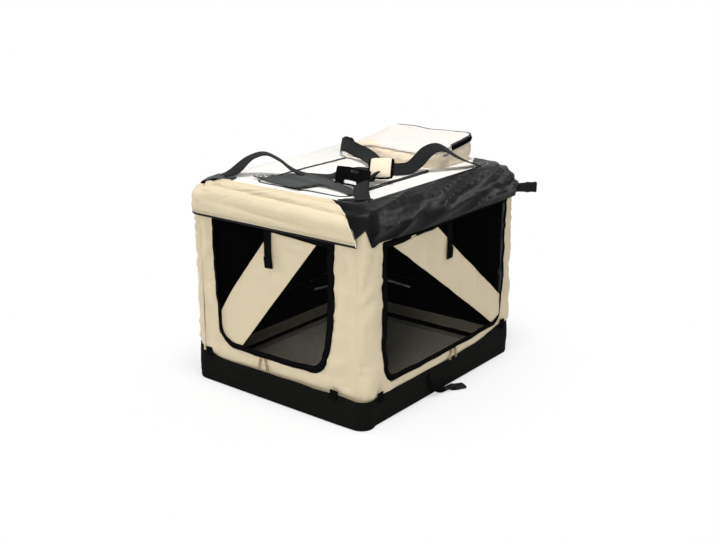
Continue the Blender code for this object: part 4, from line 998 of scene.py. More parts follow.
def make_walls():
    """The four cream walls, each with its doorway or window cut out."""
    openings = {
        "front": (doorway(FRONT_DOOR), FRONT_DOOR["centre"]),
        "right": (doorway(SIDE_DOOR), 0.0),
        "rear": (window_hole(REAR_WINDOW_HALF), 0.0),
        "left": (window_hole(LEFT_WINDOW_HALF), 0.0),
    }
    for side, (hole, centre) in openings.items():
        reach = SIDES[side][2] - CORNER + (ARC_LENGTH + 0.005 if side in ("left", "right") else -0.0055)

        def place(u, v):
            leant = lean(side, u, v)
            tucked = clamped(1 - (v - skirt_top(wall_point(side, *leant))) / 0.009)
            return wall_point(side, *leant, wall_folds(side, u, v) * (1 - tucked) - 0.0030 * tucked)

        outlines = halves_round(-reach, reach, WALL_LOW, WALL_TOP, hole, centre)
        wall = lined(side + "_cloth_wall", outlines, WALL_GRID, place, "cream", WALL_CLOTH)
        finish_piece(wall, "base", "cream_cloth", side + "_wall", **WALL_FOLD)
        open_area = hole_area(hole)
        if side in ("left", "right"):
            for way in (-1, 1):
                corner_seam(side, way)


def make_painted_light_slits():
    """Short pale tapes inside the left and the rear wall, near the covers' low edges: painted light, standing
    in for light that shows through gaps there.
    """
    tapes = []
    for side, first, last, height in (("left", -0.222, -0.150, 0.118), ("rear", 0.056, 0.150, 0.128)):
        path = [wall_point(side, first + (last - first) * i / 8, height + 0.006 * i / 8, -0.0105)
                for i in range(9)]
        section = tape_section(0.007, 0.0016, 0.0004)
        tapes.append(sweep("tape", path, -SIDES[side][1], section, False, "slit"))
    finish_piece(join("inner_tapes", tapes), "base", "cream_cloth", **WALL_FOLD)


def corner_seam(side, way):
    """The raised seam and its stitches where a long wall ends on the short wall beside it."""
    u = way * (SIDES[side][2] - CORNER + ARC_LENGTH + 0.003)
    heights = [SKIRT_TOP + 0.004 + (HEM - SKIRT_TOP) * i / 40 for i in range(41)]
    outward = wall_outward(side, u)
    path = [wall_point(side, u, v, wall_folds(side, u, v) + 0.0003) for v in heights]
    seam = [sweep("seam", path, outward, tape_section(0.005, 0.0009, 0.0005), False, "cream")]
    for shift in (-0.0042, 0.0042):
        line = [wall_point(side, u - way * shift, v, wall_folds(side, u, v) + 0.0003) for v in heights]
        seam.append(stitches("seam_stitch", line, outward, "cream_thread"))
    name = side + ("_rear" if (way > 0) == (side == "right") else "_front") + "_corner_seam"
    finish_piece(join(name, seam), "base", "cream_cloth", **WALL_FOLD)


# Doors

def along_side(side, flat, out):
    """Flat points laid on a wall as it leans and folds, out from it."""
    return [wall_point(side, *lean(side, u, v), out + 0.8 * wall_folds(side, u, v)) for u, v in flat]


CELL = ((0, 0), (1, 0), (1, 1), (0, 1))


def net_sheet(name, outline, place, finish="net"):
    """A net cut to an outline: a grid of small cells whose middles are left open."""
    us, vs = [u for u, _ in outline], [v for _, v in outline]
    count_u, count_v = (math.ceil((max(c) - min(c)) / NET_PITCH) for c in (us, vs))
    shape = bmesh.new()
    layer = shape.loops.layers.uv.new("UVMap")
    corners = {}
    for i in range(count_u):
        for j in range(count_v):
            u, v = min(us) + i * NET_PITCH, min(vs) + j * NET_PITCH
            if not within((u + NET_PITCH / 2, v + NET_PITCH / 2), outline):
                continue
            ring = []
            for a, b in CELL:
                key = (i + a, j + b)
                if key not in corners:
                    corners[key] = shape.verts.new(place(u + a * NET_PITCH, v + b * NET_PITCH))
                ring.append(corners[key])
            face = shape.faces.new(ring)
            for loop, (a, b) in zip(face.loops, CELL):
                loop[layer].uv = (u + a * NET_PITCH, v + b * NET_PITCH)
    net = add(name, plain_mesh(shape, name), finish)
    return grow(net, net_tree, Open=NET_OPEN, Finish=finishes[finish])


def declare_net(outline):
    """Work out a net's area as a sheet, the larger of 0.31 of its flat size and its yarn's share of the hole;
    the value is not kept.
    """
    size = flat_size(outline)
    max(0.31 * size[0] * size[1], hole_area(outline) * (1 - NET_OPEN ** 2))


# The slanting strips' upper and lower ends, each on its own wall
STRIPS = {
    "front": ([(0.168, 0.480), (0.014, 0.480)], [(-0.240, 0.150), (-0.142, 0.090)]),
    "right": ([(0.030, 0.390), (-0.072, 0.480), (-0.280, 0.480)],
              [(0.172, 0.168), (0.322, 0.060), (0.330, 0.152)]),
}


def clipped(outline, limit):
    """The part of an outline inside a convex limit, both anticlockwise."""
    result = outline
    for (a, b), (c, d) in zip(limit, limit[1:] + limit[:1]):
        if math.hypot(c - a, d - b) < TINY:
            continue
        def side_of(p):
            return (c - a) * (p[1] - b) - (d - b) * (p[0] - a)
        clipped_ring = []
        for p, q in zip(result, result[1:] + result[:1]):
            sp, sq = side_of(p), side_of(q)
            if sp >= 0:
                clipped_ring.append(p)
            if (sp >= 0) != (sq >= 0):
                t = sp / (sp - sq)
                clipped_ring.append((p[0] + (q[0] - p[0]) * t, p[1] + (q[1] - p[1]) * t))
        result = clipped_ring
    return result


def tape_width(side, door, u, v):
    """How wide a door's zip tape shows: widest at the sill and towards the crate's near corner."""
    across = clamped(0.5 + 0.75 * (u - door["centre"]) / door["half"])
    low = clamped(1 - (v - door["sill"]) / 0.06)
    if side == "front":
        return 0.0075 + 0.0115 * max(across * across, 0.75 * low)
    return 0.0080 + 0.0080 * max((1 - across) ** 2, 0.7 * low)


def make_rim(side, door, body):
    """A door's zip tape with its coil, and the ridge along its inner edge."""
    outer = dense(doorway(door, 0.0012), 0.010)
    widths = [tape_width(side, door, u, v) for u, v in outer]
    inner = drawn_in(outer, [width - 0.0015 for width in widths])
    path = along_side(side, drawn_in(outer, [width / 2 for width in widths]), 0.0002)
    outward = SIDES[side][1]
    tape = sweep("tape", path, outward, tape_section(0.010, 0.0014, 0.0003), True, "binding",
                 widths=[width / 0.010 for width in widths])
    coil_path = along_side(side, dense(doorway(door, 0.0035), 0.008), 0.0014)
    coil = zip_teeth("coil", coil_path, outward, True)
    ridge_path = along_side(side, inner, 0.0008)
    ridge = sweep("ridge", ridge_path, outward, round_section(0.0015, 6), True, "binding")
    rim = join(side + "_zip_rim", [tape, coil, ridge])
    finish_piece(rim, body, "black_webbing", side + "_door_binding", **DOOR_FOLD)


def make_strip(side, door, body):
    """The cream strip that slants across a door, cut off where the doorway ends."""
    high, low = STRIPS[side]
    shift = door["centre"] * (side == "front")
    outline = clipped([(u + shift, v) for u, v in high + low], doorway(door, 0.010))

    def strip_place(u, v):
        flat = wall_point(side, u, v)
        slack = abs(rumple(flat, 0.045, 0.0016)) * (1.4 if side == "right" else 0.6)
        slack += 0.0030 * crease(Vector((u * 9 + v * 9, v * 5 - u * 5, 2.0)), 4.0) * (side == "right")
        return wall_point(side, *lean(side, u, v), -0.0014 + slack)

    strip = lined(side + "_strip", [outline], 0.008, strip_place, "cream", THIN)
    finish_piece(strip, body, "cream_cloth", side + "_door_strip", **DOOR_FOLD)
    along = (Vector(low[0]) - Vector(high[-1])).normalized()
    lengths = [along.dot(Vector(point)) for point in outline]
    hole_area(outline)
    make_strip_stitching(side, body, outline, strip_place)


def make_door(side, door, body):
    """A net door in its zip tape, with a cream strip slanting across it."""
    make_rim(side, door, body)
    net_outline = doorway(door, 0.005)

    def net_place(u, v):
        sag = -0.0050 + rumple(wall_point(side, u, v), 0.16, 0.0012)
        return wall_point(side, *lean(side, u, v), sag)

    net = net_sheet(side + "_net", net_outline, net_place)
    finish_piece(net, body, "black_net", side + "_door_net", **DOOR_FOLD)
    declare_net(net_outline)
    make_strip(side, door, body)


def make_strip_stitching(side, body, outline, place):
    """Rows of stitches just inside the strip's edges."""
    centre_u = sum(u for u, _ in outline) / len(outline)
    centre_v = sum(v for _, v in outline) / len(outline)
    outward = SIDES[side][1]
    rows = []
    for inset in (0.003, 0.008):
        ring = []
        for u, v in dense(outline, 0.010):
            away = math.hypot(u - centre_u, v - centre_v)
            ring.append((u + (centre_u - u) * inset * 1.4 / away, v + (centre_v - v) * inset * 1.4 / away))
        path = [place(u, v) + outward * 0.0004 for u, v in ring]
        rows.append(stitches("strip_stitch", path, outward, "cream_thread", closed=True))
    finish_piece(join(side + "_strip_stitching", rows), body, "cream_cloth", **DOOR_FOLD)


TIE_LOW, TIE_TOP, TIE_WIDTH = 0.364, 0.480, 0.024


def make_tie(side, u, node_name):
    """A webbing tie hanging from under the hem, its end folded back and stitched."""
    across, outward = SIDES[side][:2]
    path = []
    for t in shares(12):
        v = TIE_TOP + (TIE_LOW - TIE_TOP) * t
        path.append(wall_point(side, u + 0.004 * t * t, v, 0.0012 + 0.004 * math.sin(math.pi * t) * t))
    strap = sweep("strap", path, outward, tape_section(TIE_WIDTH, WEBBING, 0.0002), False, "binding")
    fold_path = [p + outward * 0.0019 for p in path[9:]]
    fold_section = tape_section(TIE_WIDTH + 0.003, WEBBING, 0.0010)
    lines = [strap, sweep("fold", fold_path, outward, fold_section, False, "binding")]
    for index in (9.4, 11.6):
        low, share = path[int(index)], index - int(index)
        spot = low.lerp(path[min(12, int(index) + 1)], share) + outward * 0.0040
        reach = across * (TIE_WIDTH / 2 - 0.003)
        lines.append(stitches("tie_stitch", [spot - reach, spot + reach], outward, "black_thread"))
    tie = join(node_name + "_webbing", lines)
    finish_piece(tie, "roof", "black_webbing", node_name, fold=TIE_TOP, keep=0.05)


# Windows

def make_window(side, half):
    """A net window, and a cover flap that hangs over it from the hem with its edge bound."""
    net_outline = window_hole(half, 0.008)

    def net_place(u, v):
        return wall_point(side, u, v, -0.0036 + rumple(wall_point(side, u, v), 0.16, 0.0008))

    net = net_sheet(side + "_window_net_yarn", net_outline, net_place)
    finish_piece(net, "roof", "black_net", side + "_window_net", **DOOR_FOLD)
    declare_net(net_outline)
    make_cover(side, half + COVER_OVERLAP)


def make_cover(side, edge):
    """A window's cover flap, reaching edge to each side, and the zip round its rim."""
    node_name, body, outward = side + "_window_cover", side + "_cover", SIDES[side][1]
    flap = {"centre": 0.0, "half": edge, "sill": WINDOW_SILL - COVER_OVERLAP,
            "corner": WINDOW_CORNER + COVER_OVERLAP}
    outline = doorway(flap)

    def cover_place(u, v):
        flat = wall_point(side, u, v)
        down = (DOOR_HEAD - v) / (DOOR_HEAD - flap["sill"])
        slack = 0.0018 + rumple(flat, 0.09, 0.0022) + rumple(flat, 0.03, 0.0006, (1, 1, 2.0))
        return wall_point(side, u, v, 0.0030 + max(-0.001, slack) * min(1.0, 0.3 + down))

    cover = lined(node_name + "_flap", [outline], 0.010, cover_place, "cream", THIN)
    finish_piece(cover, body, "cream_cloth", node_name, **DOOR_FOLD)
    hole_area(outline)
    path = [cover_place(u, v) + outward * 0.0001 for u, v in dense(doorway(flap, 0.004), 0.009)]
    section = tape_section(0.012, 0.0012, 0.0003)
    tape = sweep("tape", path, outward, section, True, "webbing")
    coil_path = [cover_place(u, v) + outward * 0.0014 for u, v in dense(doorway(flap, 0.0055), 0.008)]
    coil = zip_teeth("coil", coil_path, outward, True)
    finish_piece(join(node_name + "_zip", [tape, coil]), body, "black_webbing", **DOOR_FOLD)


# Roof edge

def smooth_section(count):
    """The roof edge's section as count + 1 evenly spaced (inset, rise) points on a smooth curve."""
    points = [Vector((inset, rise, 0)) for inset, rise in EAVE_SECTION]
    return [(p.x, p.y) for p in even_points(smooth_route(points, 12), count)]


def smooth_route(points, steps=4):
    """Points on a smooth curve through the given ones."""
    ends = [points[0] * 2 - points[1], *points, points[-1] * 2 - points[-2]]
    path = []
    for a, b, c, d in zip(ends, ends[1:], ends[2:], ends[3:]):
        for step in range(steps):
            t = step / steps
            path.append(0.5 * ((2 * b) + (c - a) * t + (2 * a - 5 * b + 4 * c - d) * t ** 2
                               + (3 * b - a - 3 * c + d) * t ** 3))
    path.append(points[-1])
    return path


SECTION_STEPS = 26
SECTION = smooth_section(SECTION_STEPS)


def section_at(k):
    spot = min(max(k, 0.0), 1.0) * SECTION_STEPS
    low = min(int(spot), SECTION_STEPS - 1)
    share = spot - low
    (a, b), (c, d) = SECTION[low], SECTION[low + 1]
    return a + (c - a) * share, b + (d - b) * share


def loop_point(t, half_x, half_y, radius):
    """A point on a rounded rectangle. t runs from 0 to 8: straight right side, then corner, and so on."""
    t %= 8
    stretch, share = int(t), t - int(t)
    x, y = half_x - radius, half_y - radius
    if stretch % 2:
        middle_x, middle_y = ((x, y), (-x, y), (-x, -y), (x, -y))[stretch // 2]
        angle = math.radians(90 * (stretch // 2 + share))
        return middle_x + radius * math.cos(angle), middle_y + radius * math.sin(angle)
    run = 2 * share - 1
    return ((half_x, y * run), (-x * run, half_y), (-half_x, -y * run), (x * run, -half_y))[stretch // 2]


def past_front(t):
    """t as a value from 4 to 12, so that it runs on past the front right corner at 7 to 8."""
    return t % 8 + (8 if t % 8 < 4 else 0)


def eave_base(t, k):
    inset, rise = section_at(k)
    share = max(0.0, inset / EAVE_SECTION[-1][0])
    inset_y = inset * EAVE_END_SHARE if inset > 0 else inset
    x, y = loop_point(t, HALF_X - inset, HALF_Y - inset_y, 0.040 + 0.005 * share)
    return Vector((x, y, HEM + rise))


def eave_normal(t, k):
    ahead = eave_base(t + 0.01, k) - eave_base(t - 0.01, k)
    upward = eave_base(t, min(1.0, k + 0.03)) - eave_base(t, max(0.0, k - 0.03))
    return ahead.cross(upward).normalized()


def eave_point(t, k, folds, lift=0.0):
    return eave_base(t, k) + eave_normal(t, k) * (folds(t, k) + lift)


def cream_folds(t, k):
    """Long lengthwise rolls in the padded end flaps."""
    run = t - math.floor(t) if 6 <= t <= 7 else (t - 2) % 1
    base = eave_base(t, k)
    first = -0.0085 * bell(k, 0.72 - 0.17 * run, 0.060) * (0.30 + 0.70 * bell(run, 0.45, 0.45))
    second = -0.0062 * bell(k, 0.33 - 0.13 * run, 0.050) * bell(run, 0.55, 0.38)
    third = -0.0045 * bell(k, 0.86 - 0.02 * run, 0.035) * bell(run, 0.80, 0.30)
    roll = 0.0045 * bell(k, 0.50 - 0.12 * run, 0.11)
    puff = 0.0035 * math.sin(math.pi * min(1.0, k * 1.1))
    soft = rumple(base, 0.07, 0.0018, (1.8, 1.8, 0.7)) + rumple(base, 0.022, 0.0005, (2.5, 2.5, 1))
    return (first + second + third + roll + puff + soft) * min(1.0, (1 - k) * 8) * min(1.0, 0.25 + k * 6)


def nylon_folds(t, k):
    """Crumpled folds in the black side flaps: long slanting creases, small cross wrinkles near the top."""
    base = eave_base(t, k)
    run, rise = base.y + 0.6 * base.x, k * 0.13
    long_spot = Vector((run * 3.2 + rise * 6, rise * 26 - run * 5.5, 3.3))
    short_spot = Vector((run * 8 - rise * 10, rise * 46 + run * 6, 8.1))
    cross_spot = Vector((run * 62 + rise * 25, rise * 16, 5.7))
    place = past_front(t)
    loose = 1 - 0.8 * bell(place, 7.55, 0.40) - 0.6 * bell(place, 10.0, 0.45)
    big = rumple(long_spot, 1.0, 0.0045) * loose
    creased = (0.0080 * crease(long_spot, 2.5) - 0.0014 * crease(short_spot, 4.0)) * loose
    cross = 0.0007 * crease(cross_spot, 3.0) * bell(k, 0.72, 0.20)
    small = rumple(base, 0.014, 0.0004)
    puff = 0.0022 * math.sin(math.pi * min(1.0, k * 1.1))
    lift = 0.0038 * bell(place, 7.58, 0.22) * (k < 0.9)
    return (puff + big + creased + cross + small) * min(1.0, (1 - k) * 7) * min(1.0, 0.12 + k * 5) + lift


def blend_between(pairs, k):
    """A value at k from (k, value) pairs."""
    for (a, b), (c, d) in zip(pairs, pairs[1:]):
        if k <= c:
            share = (k - a) / (c - a)
            share = share * share * (3 - 2 * share)
            return b + (d - b) * share
    return pairs[-1][1]


FRONT_RIGHT_SEAM = ((0.0, 7.06), (0.2, 6.99), (0.5, 6.967), (0.7, 6.945), (0.9, 6.915), (1.0, 6.88))
FRONT_LEFT_SEAM = ((0.0, 5.06), (0.30, 5.10), (0.60, 5.30), (0.85, 5.75), (1.0, 6.04))
REAR_LEFT_SEAM = ((0.0, 3.00), (0.15, 2.99), (0.45, 2.975), (0.75, 2.955), (1.0, 2.93))
REAR_RIGHT_SEAM = ((0.0, 2.00), (0.15, 2.01), (0.45, 2.025), (0.75, 2.045), (1.0, 2.07))


def spaced(start, end, step):
    """Steps of t along the roof edge's loop at about even distances, finer round its corners."""
    ts = [start]
    while ts[-1] < end:
        place = ts[-1] % 8
        length = 0.063 if int(place) % 2 else (0.62 if int(place) in (0, 4) else 0.50)
        ts.append(min(end, ts[-1] + (step * 0.6 if int(place) % 2 else step) / length))
    return ts


def plain_hem(t):
    """The hem of a flap whose lower edge runs level."""
    return 0.0


def eave_piece(name, first_seam, second_seam, folds, shift, step, finish, hem=plain_hem, painted_lit_rows_from=None):
    """A stretch of the roof edge between two seams. hem(t) is how far up its lower edge starts.

    The last argument is the row of faces from which its upper part takes the roof's cream, painted near white
    as lit from above, but for its ends.
    """
    start, end = first_seam[0][1], second_seam[0][1] + shift
    rows = []
    for place in spaced(start, end, step):
        share = (place - start) / (end - start)
        row = []
        for k in shares(SECTION_STEPS):
            t = blend_between(first_seam, k) * (1 - share) + (blend_between(second_seam, k) + shift) * share
            low = hem(t)
            row.append(eave_point(t, low + (1 - low) * k, folds))
        rows.append(row)
    piece = loft(name, rows, False, finish, "lining")
    shape = bmesh.new()
    shape.from_mesh(piece.data)
    outward = shape.faces[:][len(shape.faces) // 2]
    centre = outward.calc_center_median()
    if outward.normal.dot(Vector((centre.x, centre.y, 0.2))) < 0:
        bmesh.ops.reverse_faces(shape, faces=shape.faces)
    shape.to_mesh(piece.data)
    shape.free()
    outer_faces = len(piece.data.polygons)
    thicken(piece, FLAP_CLOTH, 1)
    # Painted light: the upper rows take the roof's cream painted near white, as lit from above.
    if painted_lit_rows_from:
        piece.data.materials.append(finishes["roof"])
        for polygon in piece.data.polygons[:outer_faces]:
            if polygon.index % SECTION_STEPS >= painted_lit_rows_from and PAINTED_LIT_CREAM_START < polygon.center.y < PAINTED_LIT_CREAM_END:
                polygon.material_index = 2
    return piece


FLAP_CLOTH = CLOTH * 0.8
# Where the left flap's upper rows take the roof's cream painted near white, as lit from above: painted light.
PAINTED_LIT_CREAM_START, PAINTED_LIT_CREAM_END, PAINTED_LIT_CREAM_REACH = -0.270, 0.300, 0.044
PAINTED_LIT_CREAM_STEP = next(j for j in range(SECTION_STEPS)
                 if eave_base(4.0, j / SECTION_STEPS).x > -ROOF_HALF_X - PAINTED_LIT_CREAM_REACH)
HEM_COURSE = (
    (7.0, 0.18), (7.03, 0.17), (7.40, 0.335), (7.44, 0.335), (7.68, 0.015), (7.76, 0.02), (8.03, 0.075),
    (8.3, 0.030), (9.9, 0.030), (10.2, 0.030),
)


def corner_hem(t):
    """The black hem: a hanging point and a notch at the front right corner, then nearly level."""
    place = past_front(t)
    for (a, b), (c, d) in zip(HEM_COURSE, HEM_COURSE[1:]):
        if place <= c:
            return b + (d - b) * max(0.0, place - a) / (c - a)
    return HEM_COURSE[-1][1]


def make_eaves():
    """The four padded roof flaps and the piping along their hems."""
    flaps = (
        ("front", FRONT_LEFT_SEAM, FRONT_RIGHT_SEAM, cream_folds, 0.0, 0.006, "cream"),
        ("rear", REAR_RIGHT_SEAM, REAR_LEFT_SEAM, cream_folds, 0.0, 0.006, "cream"),
        ("right", FRONT_RIGHT_SEAM, REAR_RIGHT_SEAM, nylon_folds, 8.0, 0.0045, "nylon", corner_hem),
        # The left flap's upper rows are painted near white, as lit from above.
        ("left", REAR_LEFT_SEAM, FRONT_LEFT_SEAM, nylon_folds, 0.0, 0.006, "nylon", plain_hem, PAINTED_LIT_CREAM_STEP),
    )
    for side, *cut in flaps:
        piece = eave_piece(side + "_roof_flap", *cut)
        slot = "cream_cloth" if cut[5] == "cream" else "black_nylon"
        finish_piece(piece, "roof", slot, side + "_eave")
    for side, start, end, folds, radius, finish, hem in (
            ("front", 5.06, 7.06, cream_folds, 0.0034, "webbing", plain_hem),
            ("rear", 2.00, 3.00, cream_folds, 0.0022, "webbing", plain_hem),
            ("right", 7.01, 9.99, nylon_folds, 0.0018, "nylon", corner_hem),
            ("left", 3.01, 5.05, nylon_folds, 0.0018, "nylon", plain_hem)):
        ts = spaced(start, end, 0.005)
        path = [eave_point(t, hem(t), folds, -0.001) for t in ts]
        normals = [eave_normal(t, hem(t)) for t in ts]
        lines = [sweep("cord", path, normals, round_section(radius, 8), False, finish)]
        for k in (0.055, 0.085):
            thread = "cream_thread" if finish == "webbing" else "black_thread"
            line = [eave_point(t, hem(t) + k, folds, 0.0001) for t in ts]
            lines.append(stitches("hem_stitch", line, normals, thread))
        slot = "black_webbing" if finish == "webbing" else "black_nylon"
        finish_piece(join(side + "_hem_piping", lines), "roof", slot)
    make_seam_edges()


def make_corner_tongue():
    """The rear cream flap's end shows as a narrow tongue under the black one, beside the buckle."""
    place, section = 9.80, tape_section(0.008, 0.0018, 0.0006)
    ks = [0.22 * i / 8 for i in range(9)]
    path = [eave_point(place, k, nylon_folds, 0.0010) for k in ks]
    normals = [eave_normal(place, k) for k in ks]
    finish_piece(sweep("corner_tongue", path, normals, section, False, "cream"), "roof", "cream_cloth")


def make_seam_edges():
    """The cream flaps' ends are folded over the black ones: a rolled cream edge on each seam."""
    ks = shares(24)
    for name, seam, way in (
            ("front_right", FRONT_RIGHT_SEAM, 1), ("front_left", FRONT_LEFT_SEAM, -1),
            ("rear_left", REAR_LEFT_SEAM, 1), ("rear_right", REAR_RIGHT_SEAM, -1)):
        path = [eave_point(blend_between(seam, k), k, cream_folds, 0.0006) for k in ks]
        normals = [eave_normal(blend_between(seam, k), k) for k in ks]
        edge = sweep("edge", path, normals, round_section(0.0017, 8), False, "cream_piping")
        line = [eave_point(blend_between(seam, k) - way * 0.012, k, cream_folds, 0.0002) for k in ks]
        parts = [edge, stitches("edge_stitch", line, normals, "cream_thread")]
        finish_piece(join(name + "_seam", parts), "roof", "cream_cloth")


# Roof sheet, hatch and pocket

def make_roof():
    """The roof sheet round its hatch, the net under the hatch and the binding round the opening."""
    hole = hatch_hole()
    outer = rounded(-ROOF_HALF_X, ROOF_HALF_X, -ROOF_HALF_Y, ROOF_HALF_Y, ROOF_CORNER)
    halves = halves_round(-ROOF_HALF_X, ROOF_HALF_X, -ROOF_HALF_Y, ROOF_HALF_Y, hole, 0.02)
    outlines = [clipped_frame(outer, half) for half in halves]
    # Painted light: the roof sheet is the cream painted near white, as lit from above.
    roof = lined("roof_sheet", outlines, 0.014, roof_point, "roof", ROOF_CLOTH)
    finish_piece(roof, "roof", "cream_cloth", "roof_panel")
    hole_area(outer) - hole_area(hole)
    net_outline = hatch_hole(0.008)
    net = net_sheet("roof_net_yarn", net_outline, lambda x, y: roof_point(x, y, -0.0034))
    finish_piece(net, "roof", "black_net", "roof_net")
    declare_net(net_outline)
    path = [roof_point(x, y, -0.0006) for x, y in dense(hole, 0.010)]
    section = tape_section(0.007, 0.0016, 0.0006)
    bound = sweep("hatch_opening_binding", path, UP, section, True, "webbing")
    finish_piece(bound, "roof", "black_webbing")


def clipped_frame(outer, half):
    """A half of the roof with its square outer corners cut round."""
    points = []
    for u, v in half:
        corner_u, corner_v = abs(abs(u) - ROOF_HALF_X) < NEAR, abs(abs(v) - ROOF_HALF_Y) < NEAR
        if corner_u and corner_v:
            arc_points = [(a, b) for a, b in outer if a * u > 0 and b * v > 0]
            before = points[-1] if points else half[-1]
            arc_points.sort(key=lambda p: math.hypot(p[0] - before[0], p[1] - before[1]))
            points += arc_points
        else:
            points.append((u, v))
    return points


def make_hatch():
    """The roof hatch: its panel in the cream painted near white as lit from above, the grey mesh flap over its
    front, and the zips on both sides.
    """
    left, right = HATCH_LEFT + HATCH_PLAY, HATCH_RIGHT - HATCH_PLAY
    front, rear = HATCH_FRONT + HATCH_PLAY, HATCH_REAR - HATCH_PLAY
    outline = hatch_hole(-HATCH_PLAY)

    def place(x, y):
        return roof_point(x, y, 0.0016 + abs(rumple((x, y, 0.3), 0.07, 0.0016)))

    # Painted light: the hatch panel is the cream painted near white, as lit from above.
    hatch = lined("hatch_panel", [outline], 0.011, place, "roof", ROOF_CLOTH)
    finish_piece(hatch, "hatch", "cream_cloth", "roof_hatch")
    hole_area(outline)
    pieces = []
    for x in (left + 0.003, right - 0.003):
        path = [place(x, front + 0.02 + (rear - 0.03 - front) * i / 60) + UP * 0.0001 for i in range(61)]
        pieces.append(sweep("zip_tape", path, UP, tape_section(0.009, 0.0010, 0.0002), False, "mesh"))
        pieces.append(zip_teeth("zip_coil", [p + UP * 0.0010 for p in path], UP))
    finish_piece(join("hatch_edges", pieces), "hatch", "black_webbing")
    stitching = []
    for x in (left + 0.011, right - 0.011):
        line = [place(x, -0.130 + (rear - 0.03 + 0.130) * i / 40) + UP * 0.0002 for i in range(41)]
        stitching.append(stitches("hatch_stitch", line, UP))
    finish_piece(join("hatch_stitching", stitching), "hatch", "cream_cloth")
    make_mesh_flap(place)


# The mesh flap's corners on the roof, from its front left one on, and how many points its front edge takes
MESH_FLAP = (
    (-0.147, -0.258), (-0.060, -0.277), (0.028, -0.297), (0.041, -0.280), (0.044, -0.254), (0.056, -0.238),
    (0.076, -0.237), (0.110, -0.242), (0.168, -0.254), (0.160, -0.228), (0.110, -0.205), (0.040, -0.176),
    (-0.030, -0.158), (-0.076, -0.150), (-0.090, -0.172), (-0.108, -0.212), (-0.124, -0.240),
)
FLAP_FRONT_POINTS = 60


def make_mesh_flap(under):
    """The grey mesh flap zipped down over the hatch's front, its front edge bound."""
    middle = Vector((0.0, -0.225, 0.0))
    corners = [Vector((x, y, 0)) for x, y in MESH_FLAP]
    edge = [(p.x, p.y) for p in smooth_route(corners + corners[:1], 5)[:-1]]

    def place(x, y):
        sway = 2 * noise.noise(Vector((x * 14, y * 14, 0)))
        wave = 0.0020 * math.sin((x * 0.35 + y) * 110 + sway) + 0.0020
        lift = 0.0045 * bell((Vector((x, y, 0)) - middle).length, 0.0, 0.11)
        return under(x, y) + UP * (0.0016 + lift + wave)

    flap = lined("hatch_mesh_flap", [edge], 0.007, place, "mesh", 0.0012)
    finish_piece(flap, "hatch", "black_nylon")
    flat_size(edge)
    hole_area(edge)
    front_edge = [place(x, y) + UP * 0.0004 for x, y in edge[:FLAP_FRONT_POINTS]]
    rim = sweep("rim", front_edge, UP, round_section(0.0019, 8), False, "mesh")
    finish_piece(join("hatch_flap_binding", [rim]), "hatch", "black_webbing")


# How high the pocket stands along its front and its back edge: (x, height) pairs
POCKET_FRONT_RISE = ((-0.152, 0.018), (-0.110, 0.034), (-0.050, 0.0425), (0.020, 0.041), (0.080, 0.0385),
                     (0.130, 0.0400), (0.172, 0.0440))
POCKET_REAR_RISE = ((-0.152, 0.0400), (-0.120, 0.0540), (-0.080, 0.0700), (-0.030, 0.0700), (0.030, 0.0670),
                    (0.110, 0.0690), (0.160, 0.0710), (0.172, 0.0690))
POCKET_CENTRE = Vector(((POCKET_LEFT + POCKET_RIGHT) / 2, (POCKET_FRONT + POCKET_REAR) / 2, 0.0))
LID_SHARES = (0.03, 0.12, 0.21, 0.3, 0.39, 0.48, 0.57, 0.66, 0.74, 0.81, 0.87, 0.92, 0.96, 0.985, 1.0)


def pocket_height(x, y):
    """The pocket's top over the roof: low in its front left corner, raised along its back."""
    back = clamped((y - POCKET_FRONT) / (POCKET_REAR - POCKET_FRONT))
    front, rear = blend_between(POCKET_FRONT_RISE, x), blend_between(POCKET_REAR_RISE, x)
    across = clamped((x - POCKET_LEFT) / (POCKET_RIGHT - POCKET_LEFT))
    slack = -0.0040 * math.sin(math.pi * across) * math.sin(math.pi * back)
    return front + (rear - front) * back ** 0.9 + slack + rumple((x, y, 0.4), 0.05, 0.0012)


def make_pocket():
    """The storage pocket: puffy sides, a padded lid, piping round its back and a broad zip on the right."""
    outline = dense(rounded(POCKET_LEFT + 0.002, POCKET_RIGHT - 0.002, POCKET_FRONT + 0.002,
                            POCKET_REAR - 0.002, POCKET_CORNER, 6), 0.006)
    make_pocket_sides(outline)
    make_pocket_trim(make_pocket_lid(outline))


def level_of(vector):
    """A vector's level part, one long."""
    return (vector * Vector((1, 1, 0))).normalized()


def make_pocket_sides(outline):
    """The pocket's puffy sides, crumpled between the roof and the lid."""
    rows = []
    for share in shares(12):
        row = []
        for x, y in outline:
            flat = Vector((x, y, 0))
            high = pocket_height(x, y) - 0.004
            bulge = 0.0045 * math.sin(math.pi * share) + rumple((x * 2, y * 2, share * 0.1), 0.04, 0.0032)
            tuck = 0.004 * crease(Vector((x * 30, y * 30, share * 1.5)), 4.0) * math.sin(math.pi * share)
            spot = flat + (flat - POCKET_CENTRE).normalized() * (bulge + tuck - 0.003)
            row.append(Vector((spot.x, spot.y, ROOF_TOP + GAP + roof_wave(x, y) + high * share)))
        rows.append(row)
    sides = loft("pocket_sides", rows, True, "gusset", "lining")
    middle = sides.data.polygons[len(outline) * 6]
    if middle.normal.dot(level_of(middle.center - POCKET_CENTRE)) < 0:
        sides.data.flip_normals()
    finish_piece(thicken(sides, ROOF_CLOTH, 1), "roof", "cream_cloth", "pocket_gusset")


def lowered(row, drop):
    return [Vector((p.x, p.y, p.z - drop)) for p in row]


